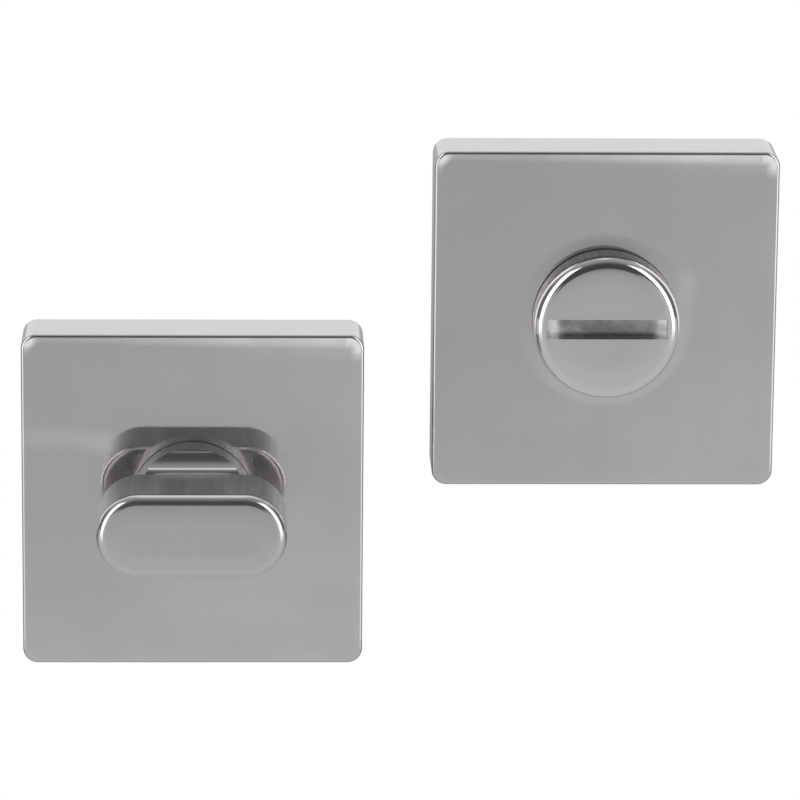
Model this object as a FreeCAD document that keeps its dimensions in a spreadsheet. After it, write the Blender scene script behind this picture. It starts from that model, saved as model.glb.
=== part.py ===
import FreeCAD, Part
import os
from types import SimpleNamespace

import Sketcher

# Bathroom thumb turn lock: the inside half, a thumb turn on a square rose, and the outside half,
# a coin release on a square rose, which stands beside it.
# Millimetres. X runs right along the door, Y into the door and Z up. The origin is on the axis of
# the spindle in the plane of the door face. Depths are measured from the door face towards the
# user, so a depth is a distance along -Y.

# Driving dimensions: alias, value, meaning
SIZES = (
    ("rose_width", 50.0, "side of a square rose cover"),
    ("rose_depth", 9.3, "door face to rose face"),
    ("rose_side_wall", 1.5, "wall of the cover at its sides"),
    ("rose_front_wall", 1.5, "wall of the cover at its face"),
    ("rose_corner_radius", 2.2, "corner of the square in plan"),
    ("rose_edge_radius", 0.7, "rounding around the rose face"),
    ("release_offset_x", 60.0, "turn axis to release axis, across"),
    ("release_offset_z", 27.4, "turn axis to release axis, up"),
    ("shank_diameter", 12.0, "shank of the turn and of the release"),
    ("shank_end", 1.0, "depth of the back end of a shank"),
    ("running_clearance", 0.05, "radial and axial play of a shank in its bush"),
    ("press_clearance", 0.01, "gap around a pushed in bush"),
    ("bush_wall", 1.3, "wall of a bush"),
    ("turn_flange_setback", 0.3, "edge of the boss to edge of its bush's flange"),
    ("turn_flange_thickness", 0.3, "flange between the rose and the boss"),
    ("release_flange_setback", 0.4, "edge of the disc to edge of its bush's flange"),
    ("release_flange_thickness", 0.45, "flange between the rose and the disc"),
    ("boss_diameter", 18.0, "round boss of the turn"),
    ("boss_land", 4.1, "rose face to the start of the scoops"),
    ("scoop_radius", 2.8, "hollow above and below the neck"),
    ("neck_step", 0.3, "head flat to neck flat"),
    ("head_length", 27.4, "stadium head, end to end"),
    ("head_thickness", 12.3, "stadium head, flat to flat"),
    ("head_back", 7.0, "rose face to the back of the head"),
    ("head_depth", 12.8, "back of the head to its front"),
    ("head_front_radius", 1.35, "rounding around the front of the head"),
    ("head_back_radius", 1.0, "rounding around the back of the head"),
    ("disc_diameter", 21.2, "release disc"),
    ("disc_height", 5.9, "rose face to the front of the disc"),
    ("disc_edge_radius", 1.35, "rounding around the front of the disc"),
    ("slot_width", 2.9, "coin slot across"),
    ("slot_depth", 2.0, "coin slot at its middle"),
    ("slot_floor_radius", 19.5, "arc of the coin slot's floor"),
    ("spindle_width", 5.0, "square of the spindle"),
    ("spindle_length", 72.0, "spindle, end to end"),
    ("spindle_chamfer", 0.5, "chamfer on the spindle's ends"),
    ("socket_clearance", 0.05, "gap at each face of the spindle"),
    ("turn_socket_depth", 18.0, "square socket in the turn, from the shank's end"),
    ("release_socket_depth", 9.0, "square socket in the release, from the shank's end"),
    ("screw_diameter", 3.0, "set screw"),
    ("screw_length", 3.0, "set screw"),
    ("screw_thread_clearance", 0.01, "gap around the set screw"),
    ("screw_from_head", 2.0, "set screw axis to the back of the head"),
    ("screw_key_width", 1.5, "square key hole of the set screw"),
    ("screw_key_depth", 1.2, "depth of that key hole"),
    ("washer_width", 2.8, "spring washer, bore to rim"),
    ("washer_thickness", 0.5, "metal of the spring washer"),
    ("washer_rise", 0.6, "cone height of the spring washer, less its metal"),
    ("washer_clearance", 0.02, "gap at each side of the spring washer"),
    ("washer_bore_clearance", 0.2, "gap around the shank in the washer"),
    ("clip_thickness", 1.0, "circlip"),
    ("clip_width", 1.9, "ring of the circlip, inside to outside"),
    ("clip_groove_depth", 0.25, "groove in the shank"),
    ("clip_groove_clearance", 0.05, "gap between circlip and groove"),
    ("clip_gap", 4.0, "opening between the circlip's lugs"),
    ("clip_lug_diameter", 3.4, "lug of the circlip"),
    ("clip_lug_spacing", 5.6, "between the two lugs' centres"),
    ("clip_lug_reach", 1.3, "bottom of the ring's bore to the lugs' centres, down"),
    ("clip_hole_diameter", 1.3, "plier hole in a lug"),
    ("plate_clearance", 0.1, "gap between base plate and cover, taken up by ribs"),
    ("plate_corner_radius", 1.2, "corner of the base plate"),
    ("plate_bore_clearance", 1.5, "spring washer to the base plate's middle hole"),
    ("rib_width", 1.6, "grip rib on the base plate's sides"),
    ("rib_spacing", 30.0, "between the two ribs of a side"),
    ("pocket_width", 12.4, "square hollow in the back of the base plate"),
    ("pocket_edge_wall", 1.9, "edge of the base plate to a hollow"),
    ("pocket_skin", 2.0, "front skin left by the hollows"),
    ("fixing_edge", 4.4, "edge of the base plate to a fixing hole's centre"),
    ("wood_screw_hole", 4.2, "wood screw hole"),
    ("wood_screw_countersink", 1.8, "countersink of the wood screw hole, radially"),
    ("bolt_diameter", 4.0, "fixing bolt"),
    ("bolt_length", 42.0, "fixing bolt under its head"),
    ("bolt_neck_diameter", 4.4, "plain neck of the bolt in the base plate"),
    ("bolt_neck_reach", 0.5, "that neck past the door face"),
    ("bolt_head_diameter", 7.0, "fixing bolt head"),
    ("bolt_head_height", 2.4, "fixing bolt head"),
    ("bolt_head_radius", 0.6, "rounding of the bolt head"),
    ("bolt_tip_chamfer", 0.6, "chamfer on the bolt's tip"),
    ("bolt_hole_clearance", 0.2, "gap around a bolt or sleeve in the base plate"),
    ("head_recess_clearance", 0.3, "gap around a head in its recess"),
    ("head_sink", 0.7, "front of the base plate to the top of a bolt or sleeve head"),
    ("cross_length", 4.2, "cross recess in a head"),
    ("cross_width", 1.0, "arm of the cross recess"),
    ("cross_depth", 1.5, "depth of the cross recess"),
    ("sleeve_diameter", 5.6, "threaded sleeve"),
    ("sleeve_length", 26.0, "threaded sleeve under its head"),
    ("sleeve_bore", 3.4, "threaded hole of the sleeve"),
    ("sleeve_head_diameter", 7.0, "head of the sleeve"),
    ("sleeve_head_height", 2.4, "head of the sleeve"),
)

doc = FreeCAD.newDocument("bathroom_thumb_turn_lock")
sheet = doc.addObject("Spreadsheet::Sheet", "sizes")
for row, (alias, number, meaning) in enumerate(SIZES, start=1):
    sheet.set(f"A{row}", meaning)
    sheet.set(f"B{row}", str(number))
    sheet.setAlias(f"B{row}", alias)
doc.recompute()


class Size:
    """A length: its value now, and the sheet formula that gives it."""

    def __init__(self, value, formula):
        self.value = value
        self.formula = formula

    def __add__(self, other):
        return Size(self.value + other.value, f"({self.formula} + {other.formula})")

    def __sub__(self, other):
        return Size(self.value - other.value, f"({self.formula} - {other.formula})")

    def __mul__(self, factor):
        return Size(self.value * factor, f"({self.formula} * {factor})")

    def __truediv__(self, divisor):
        return Size(self.value / divisor, f"({self.formula} / {divisor})")

    def __neg__(self):
        return Size(-self.value, f"(-{self.formula})")


def smaller(first, second):
    """The smaller of two lengths, for a rounding that its wall limits."""
    return Size(min(first.value, second.value), f"min({first.formula}; {second.formula})")


ZERO = Size(0.0, "0")
size = SimpleNamespace(**{alias: Size(float(sheet.get(alias)), f"sizes.{alias}") for alias, _, _ in SIZES})

# Places along the axis, as depths from the door face
cover_inside = size.rose_depth - size.rose_front_wall
washer_front = cover_inside - size.washer_clearance
washer_back = washer_front - size.washer_rise - size.washer_thickness
clip_front = washer_back - size.washer_clearance
clip_back = clip_front - size.clip_thickness
groove_front = clip_front + size.clip_groove_clearance
groove_back = clip_back - size.clip_groove_clearance
turn_boss_back = size.rose_depth + size.turn_flange_thickness + size.running_clearance
disc_back = size.rose_depth + size.release_flange_thickness + size.running_clearance
disc_front = size.rose_depth + size.disc_height
land_front = size.rose_depth + size.boss_land
head_back = size.rose_depth + size.head_back
head_front = head_back + size.head_depth
spindle_front = size.shank_end + size.turn_socket_depth - size.socket_clearance

# Radii and half widths
shank_radius = size.shank_diameter / 2
groove_radius = shank_radius - size.clip_groove_depth
bush_bore_radius = shank_radius + size.running_clearance
bush_radius = bush_bore_radius + size.bush_wall
cover_bore_radius = bush_radius + size.press_clearance
boss_radius = size.boss_diameter / 2
disc_radius = size.disc_diameter / 2
head_half = size.head_thickness / 2
neck_half = head_half - size.neck_step
cover_room = size.rose_width - size.rose_side_wall * 2
plate_width = cover_room - size.plate_clearance * 2
plate_half = plate_width / 2
washer_bore_radius = shank_radius + size.washer_bore_clearance
washer_radius = washer_bore_radius + size.washer_width
spindle_half = size.spindle_width / 2
socket_half = spindle_half + size.socket_clearance
fixing_radius = plate_half - size.fixing_edge

# A cut that has to pass right through runs this much past the solid.
CUT_MARGIN = Size(1.0, "1")
MATCH = 1e-6


def bind(target, path, length):
    """Tie one property to the sheet."""
    target.setExpression(path, length.formula)


def new_body(label, on_release=False):
    """A sub-part, on the turn's axis or on the release's."""
    body = doc.addObject("PartDesign::Body", label)
    body.Label = label
    if on_release:
        bind(body, "Placement.Base.x", size.release_offset_x)
        bind(body, "Placement.Base.z", size.release_offset_z)
    return body


def new_sketch(body, name, plane, offset=None):
    """A sketch on one of the body's own planes: on XZ_Plane an offset is a depth."""
    sketch = body.newObject("Sketcher::SketchObject", name)
    support = next(item for item in body.Origin.OriginFeatures if item.Role == plane)
    sketch.AttachmentSupport = [(support, "")]
    sketch.MapMode = "FlatFace"
    if offset is not None:
        bind(sketch, "AttachmentOffset.Base.z", offset)
    return sketch


def pin(sketch, geometry, place, point):
    """Fix a point of a sketch at two sheet formulas, or on an axis where one is zero."""
    rows = (("DistanceX", point[0], -2), ("DistanceY", point[1], -1))
    for kind, length, axis in rows:
        if length is ZERO:
            sketch.addConstraint(Sketcher.Constraint("PointOnObject", geometry, place, axis))
            continue
        number = sketch.addConstraint(Sketcher.Constraint(kind, -1, 1, geometry, place, length.value))
        bind(sketch, f"Constraints[{number}]", length)


def vector(point):
    return FreeCAD.Vector(point[0].value, point[1].value, 0)


def draw_arc(sketch, start, end, centre, turns_left):
    """An arc between two points about a centre: its number, and its start and end places."""
    middle = vector(centre)
    first, last = (start, end) if turns_left else (end, start)
    spoke = vector(first) - middle
    far_spoke = vector(last) - middle
    flat_x = FreeCAD.Vector(1, 0, 0)
    flat_normal = FreeCAD.Vector(0, 0, 1)
    circle = Part.Circle(middle, flat_normal, spoke.Length)
    first_angle = spoke.getAngle(flat_x) if spoke.y >= 0 else -spoke.getAngle(flat_x)
    last_angle = far_spoke.getAngle(flat_x) if far_spoke.y >= 0 else -far_spoke.getAngle(flat_x)
    number = sketch.addGeometry(Part.ArcOfCircle(circle, first_angle, last_angle))
    places = (1, 2) if turns_left else (2, 1)
    return number, places


def draw_outline(sketch, corners, arcs=None):
    """A closed outline with every corner bound to the sheet.

    arcs gives, for the side that starts at that corner, the centre of its arc and whether it
    turns left. Sides that are not named there are straight.
    """
    arcs = arcs or {}
    sides = []
    for index, start in enumerate(corners):
        end = corners[(index + 1) % len(corners)]
        if index in arcs:
            centre, turns_left = arcs[index]
            number, places = draw_arc(sketch, start, end, centre, turns_left)
        else:
            number = sketch.addGeometry(Part.LineSegment(vector(start), vector(end)))
            places = (1, 2)
        sides.append((number, places))
    for index, (number, places) in enumerate(sides):
        following, next_places = sides[(index + 1) % len(sides)]
        sketch.addConstraint(Sketcher.Constraint("Coincident", number, places[1], following, next_places[0]))
        pin(sketch, number, places[0], corners[index])
    for index, (centre, _) in arcs.items():
        number = sides[index][0]
        reach = sketch.addConstraint(Sketcher.Constraint("DistanceX", -1, 1, number, 3, centre[0].value))
        bind(sketch, f"Constraints[{reach}]", centre[0])


def draw_rectangle(sketch, centre, width, height):
    left = centre[0] - width / 2
    right = centre[0] + width / 2
    low = centre[1] - height / 2
    high = centre[1] + height / 2
    start = sketch.GeometryCount
    corners = ((left, low), (right, low), (right, high), (left, high))
    for index, corner in enumerate(corners):
        sketch.addGeometry(Part.LineSegment(vector(corner), vector(corners[(index + 1) % 4])))
    for index, corner in enumerate(corners):
        following = start + (index + 1) % 4
        sketch.addConstraint(Sketcher.Constraint("Coincident", start + index, 2, following, 1))
        pin(sketch, start + index, 1, corner)


def draw_circle(sketch, centre, radius):
    circle = Part.Circle(vector(centre), FreeCAD.Vector(0, 0, 1), radius.value)
    number = sketch.addGeometry(circle)
    pin(sketch, number, 3, centre)
    bound = sketch.addConstraint(Sketcher.Constraint("Radius", number, radius.value))
    bind(sketch, f"Constraints[{bound}]", radius)


def add_pad(body, name, sketch, length):
    """Thicken a sketch towards the user, or along its normal."""
    feature = body.newObject("PartDesign::Pad", name)
    feature.Profile = sketch
    bind(feature, "Length", length)
    doc.recompute()
    return feature


def add_pocket(body, name, sketch, length, forward=False, both_ways=False):
    """Cut a sketch into the body: away from the user, forward to the user, or both ways."""
    before = body.Shape.Volume
    feature = body.newObject("PartDesign::Pocket", name)
    feature.Profile = sketch
    feature.Reversed = forward
    feature.SideType = "Symmetric" if both_ways else "One side"
    bind(feature, "Length", length)
    doc.recompute()
    if body.Shape.Volume >= before - MATCH:
        raise RuntimeError(f"{body.Label}: {name} cuts nothing")
    return feature


def add_revolution(body, name, profile):
    """Turn a profile of (depth, radius) corners about the axis of the shank."""
    sketch = new_sketch(body, name + "_profile", "YZ_Plane")
    draw_outline(sketch, [(-depth if depth is not ZERO else ZERO, radius) for depth, radius in profile])
    feature = body.newObject("PartDesign::Revolution", name)
    feature.Profile = sketch
    feature.ReferenceAxis = (sketch, ["H_Axis"])
    feature.Angle = 360
    doc.recompute()
    return feature


def add_edge_feature(body, kind, name, chosen, radius):
    """Round or chamfer the edges of the body that a test picks."""
    base = body.Tip
    names = [f"Edge{number}" for number, edge in enumerate(base.Shape.Edges, start=1) if chosen(edge)]
    if not names:
        raise RuntimeError(f"{body.Label}: {name} finds no edge")
    feature = body.newObject("PartDesign::" + kind, name)
    feature.Base = (base, names)
    bind(feature, "Radius" if kind == "Fillet" else "Size", radius)
    doc.recompute()
    return feature


def at_depth(edge, depth):
    """True for an edge that lies whole at one depth."""
    box = edge.BoundBox
    return abs(box.YMin + depth.value) < MATCH and abs(box.YMax + depth.value) < MATCH


def along_axis(edge):
    """True for a straight edge that runs into the door."""
    box = edge.BoundBox
    return box.XLength < MATCH and box.ZLength < MATCH


def shank_profile(front):
    """Corners of a grooved shank, from its back end to a front depth."""
    return [
        (size.shank_end, ZERO),
        (size.shank_end, shank_radius),
        (groove_back, shank_radius),
        (groove_back, groove_radius),
        (groove_front, groove_radius),
        (groove_front, shank_radius),
        (front, shank_radius),
    ]


def make_knob_head():
    """The stadium head of the thumb turn, rounded front and back."""
    body = new_body("knob_head")
    outline = new_sketch(body, "outline", "XZ_Plane", head_back)
    straight = size.head_length / 2 - head_half
    corners = [(straight, -head_half), (straight, head_half), (-straight, head_half), (-straight, -head_half)]
    draw_outline(outline, corners, {0: ((straight, ZERO), True), 2: ((-straight, ZERO), True)})
    add_pad(body, "block", outline, size.head_depth)
    add_edge_feature(body, "Fillet", "front_edge",
                     lambda edge: at_depth(edge, head_front), size.head_front_radius)
    add_edge_feature(body, "Fillet", "back_edge",
                     lambda edge: at_depth(edge, head_back), size.head_back_radius)
    return body


def make_knob_stem():
    """The grooved shank, the round boss and the neck, which ends inside the head."""
    body = new_body("knob_stem")
    neck_end = head_back + size.head_depth / 2
    profile = shank_profile(turn_boss_back)
    profile += [(turn_boss_back, boss_radius), (neck_end, boss_radius), (neck_end, ZERO)]
    add_revolution(body, "shank_and_boss", profile)

    # The flats of the neck, cut above and below, run out into the boss in a hollow.
    scoop = new_sketch(body, "scoop_sketch", "YZ_Plane")
    radius = smaller(size.scoop_radius, head_back - land_front)
    top = boss_radius + CUT_MARGIN + radius
    corners = [
        (-land_front, top),
        (-land_front, neck_half + radius),
        (-land_front - radius, neck_half),
        (-neck_end - CUT_MARGIN, neck_half),
        (-neck_end - CUT_MARGIN, top),
    ]
    draw_outline(scoop, corners, {1: ((-land_front - radius, neck_half + radius), False)})
    cut = add_pocket(body, "scoop", scoop, size.boss_diameter + CUT_MARGIN, both_ways=True)
    mirrored = body.newObject("PartDesign::Mirrored", "scoops")
    mirrored.Originals = [cut]
    level = next(item for item in body.Origin.OriginFeatures if item.Role == "XY_Plane")
    mirrored.MirrorPlane = (level, [""])
    body.Tip = mirrored
    doc.recompute()
    return body


def make_turn_knob():
    """The thumb turn: head and stem cast in one, with a square socket and a set screw hole."""
    casting = doc.addObject("Part::MultiFuse", "knob_casting")
    casting.Shapes = [make_knob_head(), make_knob_stem()]
    casting.Refine = True

    socket = doc.addObject("Part::Box", "knob_socket")
    bind(socket, "Length", socket_half * 2)
    bind(socket, "Width", size.turn_socket_depth)
    bind(socket, "Height", socket_half * 2)
    bind(socket, "Placement.Base.x", -socket_half)
    bind(socket, "Placement.Base.y", -size.shank_end - size.turn_socket_depth)
    bind(socket, "Placement.Base.z", -socket_half)

    screw_hole = doc.addObject("Part::Cylinder", "knob_screw_hole")
    bind(screw_hole, "Radius", size.screw_diameter / 2 + size.screw_thread_clearance)
    bind(screw_hole, "Height", boss_radius)
    bind(screw_hole, "Placement.Base.y", size.screw_from_head - head_back)
    bind(screw_hole, "Placement.Base.z", -boss_radius)

    holes = doc.addObject("Part::MultiFuse", "knob_holes")
    holes.Shapes = [socket, screw_hole]
    knob = doc.addObject("Part::Cut", "turn_knob")
    knob.Label = "turn_knob"
    knob.Base = casting
    knob.Tool = holes
    doc.recompute()
    return knob


def make_release_disc():
    """The outside release: a shank and a disc with a boat shaped coin slot, turned in one."""
    body = new_body("release_disc", on_release=True)
    profile = shank_profile(disc_back)
    profile += [(disc_back, disc_radius), (disc_front, disc_radius), (disc_front, ZERO)]
    add_revolution(body, "shank_and_disc", profile)
    add_edge_feature(body, "Fillet", "disc_edge",
                     lambda edge: at_depth(edge, disc_front), size.disc_edge_radius)
    slot = new_sketch(body, "slot_sketch", "XY_Plane")
    draw_circle(slot, (ZERO, size.slot_depth - disc_front - size.slot_floor_radius), size.slot_floor_radius)
    add_pocket(body, "slot", slot, size.slot_width, both_ways=True)
    socket = new_sketch(body, "socket_sketch", "XZ_Plane", size.shank_end)
    draw_rectangle(socket, (ZERO, ZERO), socket_half * 2, socket_half * 2)
    add_pocket(body, "socket", socket, size.release_socket_depth, forward=True)
    return body


def head_seat(head_height):
    """Depth of the face in a base plate that a bolt or sleeve head bears on."""
    return cover_inside - size.head_sink - head_height


def make_rose_cover(label, on_release):
    """A square cover with rounded edges, hollow from behind, bored for its bush."""
    body = new_body(label, on_release)
    outline = new_sketch(body, "outline", "XZ_Plane")
    draw_rectangle(outline, (ZERO, ZERO), size.rose_width, size.rose_width)
    add_pad(body, "block", outline, size.rose_depth)
    add_edge_feature(body, "Fillet", "corners", along_axis, size.rose_corner_radius)
    add_edge_feature(body, "Fillet", "face_edge",
                     lambda edge: at_depth(edge, size.rose_depth), size.rose_edge_radius)
    room = new_sketch(body, "room_sketch", "XZ_Plane")
    draw_rectangle(room, (ZERO, ZERO), cover_room, cover_room)
    add_pocket(body, "room", room, cover_inside, forward=True)
    bore = new_sketch(body, "bore_sketch", "XZ_Plane")
    draw_circle(bore, (ZERO, ZERO), cover_bore_radius)
    add_pocket(body, "bore", bore, size.rose_depth + CUT_MARGIN, forward=True)
    return body


def make_bush(label, flange_radius, flange_thickness, on_release):
    """A moulded bush whose flange lies between the rose and the turning piece."""
    body = new_body(label, on_release)
    flange_front = size.rose_depth + flange_thickness
    profile = [
        (cover_inside, bush_bore_radius),
        (cover_inside, bush_radius),
        (size.rose_depth, bush_radius),
        (size.rose_depth, flange_radius),
        (flange_front, flange_radius),
        (flange_front, bush_bore_radius),
    ]
    add_revolution(body, "bush", profile)
    return body


def make_spring_washer(label, on_release):
    """A conical washer: its rim bears on the cover, its bore on the circlip."""
    body = new_body(label, on_release)
    profile = [
        (washer_back, washer_bore_radius),
        (washer_back + size.washer_rise, washer_radius),
        (washer_front, washer_radius),
        (washer_front - size.washer_rise, washer_bore_radius),
    ]
    add_revolution(body, "cone", profile)
    return body


def make_circlip(label, on_release):
    """A flat retaining ring, open below, with two lugs for pliers."""
    body = new_body(label, on_release)
    inner_radius = groove_radius + size.press_clearance
    ring = new_sketch(body, "ring_sketch", "XZ_Plane", clip_back)
    draw_circle(ring, (ZERO, ZERO), inner_radius)
    draw_circle(ring, (ZERO, ZERO), inner_radius + size.clip_width)
    add_pad(body, "ring", ring, size.clip_thickness)
    opening = new_sketch(body, "opening_sketch", "XZ_Plane", clip_back)
    reach = inner_radius + size.clip_width + CUT_MARGIN
    draw_rectangle(opening, (ZERO, -reach / 2), size.clip_gap, reach)
    add_pocket(body, "opening", opening, size.clip_thickness + CUT_MARGIN, forward=True)
    lug_level = -inner_radius - size.clip_lug_reach
    lugs = new_sketch(body, "lug_sketch", "XZ_Plane", clip_back)
    holes = new_sketch(body, "hole_sketch", "XZ_Plane", clip_back)
    for across in (size.clip_lug_spacing / 2, -size.clip_lug_spacing / 2):
        draw_circle(lugs, (across, lug_level), size.clip_lug_diameter / 2)
        draw_circle(holes, (across, lug_level), size.clip_hole_diameter / 2)
    add_pad(body, "lugs", lugs, size.clip_thickness)
    add_pocket(body, "holes", holes, size.clip_thickness + CUT_MARGIN, forward=True)
    return body


def make_base_plate(label, shaft_diameter, head_diameter, head_height, on_release):
    """The moulded plate inside a cover: bored in the middle, hollowed behind, held to the door."""
    body = new_body(label, on_release)
    outline = new_sketch(body, "outline", "XZ_Plane")
    draw_rectangle(outline, (ZERO, ZERO), plate_width, plate_width)
    add_pad(body, "block", outline, cover_inside)
    add_edge_feature(body, "Fillet", "corners", along_axis, size.plate_corner_radius)

    ribs = new_sketch(body, "rib_sketch", "XZ_Plane")
    rib_place = plate_half + size.plate_clearance / 2
    for place in (size.rib_spacing / 2, -size.rib_spacing / 2):
        draw_rectangle(ribs, (rib_place, place), size.plate_clearance, size.rib_width)
        draw_rectangle(ribs, (-rib_place, place), size.plate_clearance, size.rib_width)
        draw_rectangle(ribs, (place, rib_place), size.rib_width, size.plate_clearance)
        draw_rectangle(ribs, (place, -rib_place), size.rib_width, size.plate_clearance)
    add_pad(body, "ribs", ribs, cover_inside)

    through = cover_inside + CUT_MARGIN
    holes = new_sketch(body, "hole_sketch", "XZ_Plane")
    draw_circle(holes, (ZERO, ZERO), washer_radius + size.plate_bore_clearance)
    for side in (fixing_radius, -fixing_radius):
        draw_circle(holes, (side, ZERO), shaft_diameter / 2 + size.bolt_hole_clearance)
        draw_circle(holes, (ZERO, side), size.wood_screw_hole / 2)
    add_pocket(body, "holes", holes, through, forward=True)

    recesses = new_sketch(body, "recess_sketch", "XZ_Plane", head_seat(head_height))
    for side in (fixing_radius, -fixing_radius):
        draw_circle(recesses, (side, ZERO), head_diameter / 2 + size.head_recess_clearance)
    add_pocket(body, "recesses", recesses, through, forward=True)

    hollows = new_sketch(body, "hollow_sketch", "XZ_Plane")
    place = plate_half - size.pocket_edge_wall - size.pocket_width / 2
    for across in (place, -place):
        for up in (place, -place):
            draw_rectangle(hollows, (across, up), size.pocket_width, size.pocket_width)
    add_pocket(body, "hollows", hollows, cover_inside - size.pocket_skin, forward=True)
    add_edge_feature(body, "Chamfer", "countersinks",
                     lambda edge: at_depth(edge, cover_inside) and is_wood_screw_rim(edge),
                     size.wood_screw_countersink)
    return body


def is_wood_screw_rim(edge):
    """True for the circle where a wood screw hole meets the front of the base plate."""
    box = edge.BoundBox
    middle = box.Center
    return abs(middle.x) < MATCH and abs(abs(middle.z) - fixing_radius.value) < MATCH


def make_spindle():
    """The square bar that reaches through the door, chamfered at both ends."""
    body = new_body("spindle")
    spindle_back = spindle_front - size.spindle_length
    square = new_sketch(body, "square", "XZ_Plane", spindle_back)
    draw_rectangle(square, (ZERO, ZERO), size.spindle_width, size.spindle_width)
    add_pad(body, "bar", square, size.spindle_length)
    add_edge_feature(body, "Chamfer", "ends",
                     lambda edge: at_depth(edge, spindle_back) or at_depth(edge, spindle_front),
                     size.spindle_chamfer)
    return body


def make_set_screw():
    """The headless screw below the neck, whose tip bears on the spindle."""
    body = new_body("spindle_set_screw")
    axis = size.screw_from_head - head_back
    shaft = new_sketch(body, "shaft_sketch", "XY_Plane", -spindle_half - size.screw_length)
    draw_circle(shaft, (ZERO, axis), size.screw_diameter / 2)
    add_pad(body, "shaft", shaft, size.screw_length)
    key = new_sketch(body, "key_sketch", "XY_Plane", -spindle_half - size.screw_length)
    draw_rectangle(key, (ZERO, axis), size.screw_key_width, size.screw_key_width)
    add_pocket(body, "key_hole", key, size.screw_key_depth, forward=True)
    return body


def cut_cross_recess(body, face_depth):
    """Two crossed slots in a screw head."""
    for name, width, height in (("cross_level", size.cross_length, size.cross_width),
                                ("cross_upright", size.cross_width, size.cross_length)):
        slot = new_sketch(body, name + "_sketch", "XZ_Plane", face_depth)
        draw_rectangle(slot, (ZERO, ZERO), width, height)
        add_pocket(body, name, slot, size.cross_depth)


def pair_up(body, label, on_release):
    """The piece and its mirror image, one at each fixing hole, as one sub-part."""
    bind(body, "Placement.Base.x", fixing_radius)
    mirrored = doc.addObject("Part::Mirroring", body.Label + "_mirrored")
    mirrored.Source = body
    mirrored.Normal = FreeCAD.Vector(1, 0, 0)
    pair = doc.addObject("Part::Compound", label)
    pair.Label = label
    pair.Links = [body, mirrored]
    if on_release:
        bind(pair, "Placement.Base.x", size.release_offset_x)
        bind(pair, "Placement.Base.z", size.release_offset_z)
    doc.recompute()
    return pair


def make_fixing_bolts():
    """Two bolts that pass through the door, with their heads in the turn's base plate."""
    body = new_body("fixing_bolt")
    radius = size.bolt_diameter / 2
    seat = head_seat(size.bolt_head_height)
    tip = seat - size.bolt_length
    head_top = seat + size.bolt_head_height
    profile = [
        (tip, ZERO),
        (tip, radius - size.bolt_tip_chamfer),
        (tip + size.bolt_tip_chamfer, radius),
        (-size.bolt_neck_reach, radius),
        (-size.bolt_neck_reach, size.bolt_neck_diameter / 2),
        (seat, size.bolt_neck_diameter / 2),
        (seat, size.bolt_head_diameter / 2),
        (head_top, size.bolt_head_diameter / 2),
        (head_top, ZERO),
    ]
    add_revolution(body, "bolt", profile)
    add_edge_feature(body, "Fillet", "head_edge",
                     lambda edge: at_depth(edge, head_top), size.bolt_head_radius)
    cut_cross_recess(body, head_top)
    return pair_up(body, "turn_fixing_bolts", on_release=False)


def make_sleeve_nuts():
    """Two threaded sleeves that take the bolts, with their heads in the release's base plate."""
    body = new_body("sleeve_nut")
    radius = size.sleeve_diameter / 2
    seat = head_seat(size.sleeve_head_height)
    tip = seat - size.sleeve_length
    head_top = seat + size.sleeve_head_height
    profile = [
        (tip, size.sleeve_bore / 2),
        (tip, radius),
        (seat, radius),
        (seat, size.sleeve_head_diameter / 2),
        (head_top, size.sleeve_head_diameter / 2),
        (head_top, ZERO),
        (seat, ZERO),
        (seat, size.sleeve_bore / 2),
    ]
    add_revolution(body, "sleeve", profile)
    return pair_up(body, "release_sleeve_nuts", on_release=True)


parts = [
    make_turn_knob(),
    make_rose_cover("turn_rose_cover", on_release=False),
    make_bush("turn_bush", boss_radius - size.turn_flange_setback, size.turn_flange_thickness,
              on_release=False),
    make_spring_washer("turn_spring_washer", on_release=False),
    make_circlip("turn_circlip", on_release=False),
    make_base_plate("turn_base_plate", size.bolt_neck_diameter, size.bolt_head_diameter,
                    size.bolt_head_height, on_release=False),
    make_fixing_bolts(),
    make_spindle(),
    make_set_screw(),
    make_release_disc(),
    make_rose_cover("release_rose_cover", on_release=True),
    make_bush("release_bush", disc_radius - size.release_flange_setback, size.release_flange_thickness,
              on_release=True),
    make_spring_washer("release_spring_washer", on_release=True),
    make_circlip("release_circlip", on_release=True),
    make_base_plate("release_base_plate", size.sleeve_diameter, size.sleeve_head_diameter,
                    size.sleeve_head_height, on_release=True),
    make_sleeve_nuts(),
]
doc.recompute()

for item in doc.Objects:
    if "Invalid" in item.State or "Error" in item.State:
        raise RuntimeError(f"{item.Label} failed: {item.State}")
for part in parts:
    if part.Shape.isNull() or not part.Shape.isValid():
        raise RuntimeError(f"{part.Label} has no valid shape")

os.makedirs("parts", exist_ok=True)
for part in parts:
    part.Shape.exportStep(f"parts/{part.Label}.step")
    print(part.Label, len(part.Shape.Solids), round(part.Shape.Volume, 2))
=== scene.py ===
"""Dress the bathroom thumb turn lock: polished roses, thumb turn, coin release, fixings and studio."""
import math

import bmesh
import bpy
from bpy.props import FloatProperty, FloatVectorProperty, PointerProperty
from mathutils import Matrix, Vector


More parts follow.
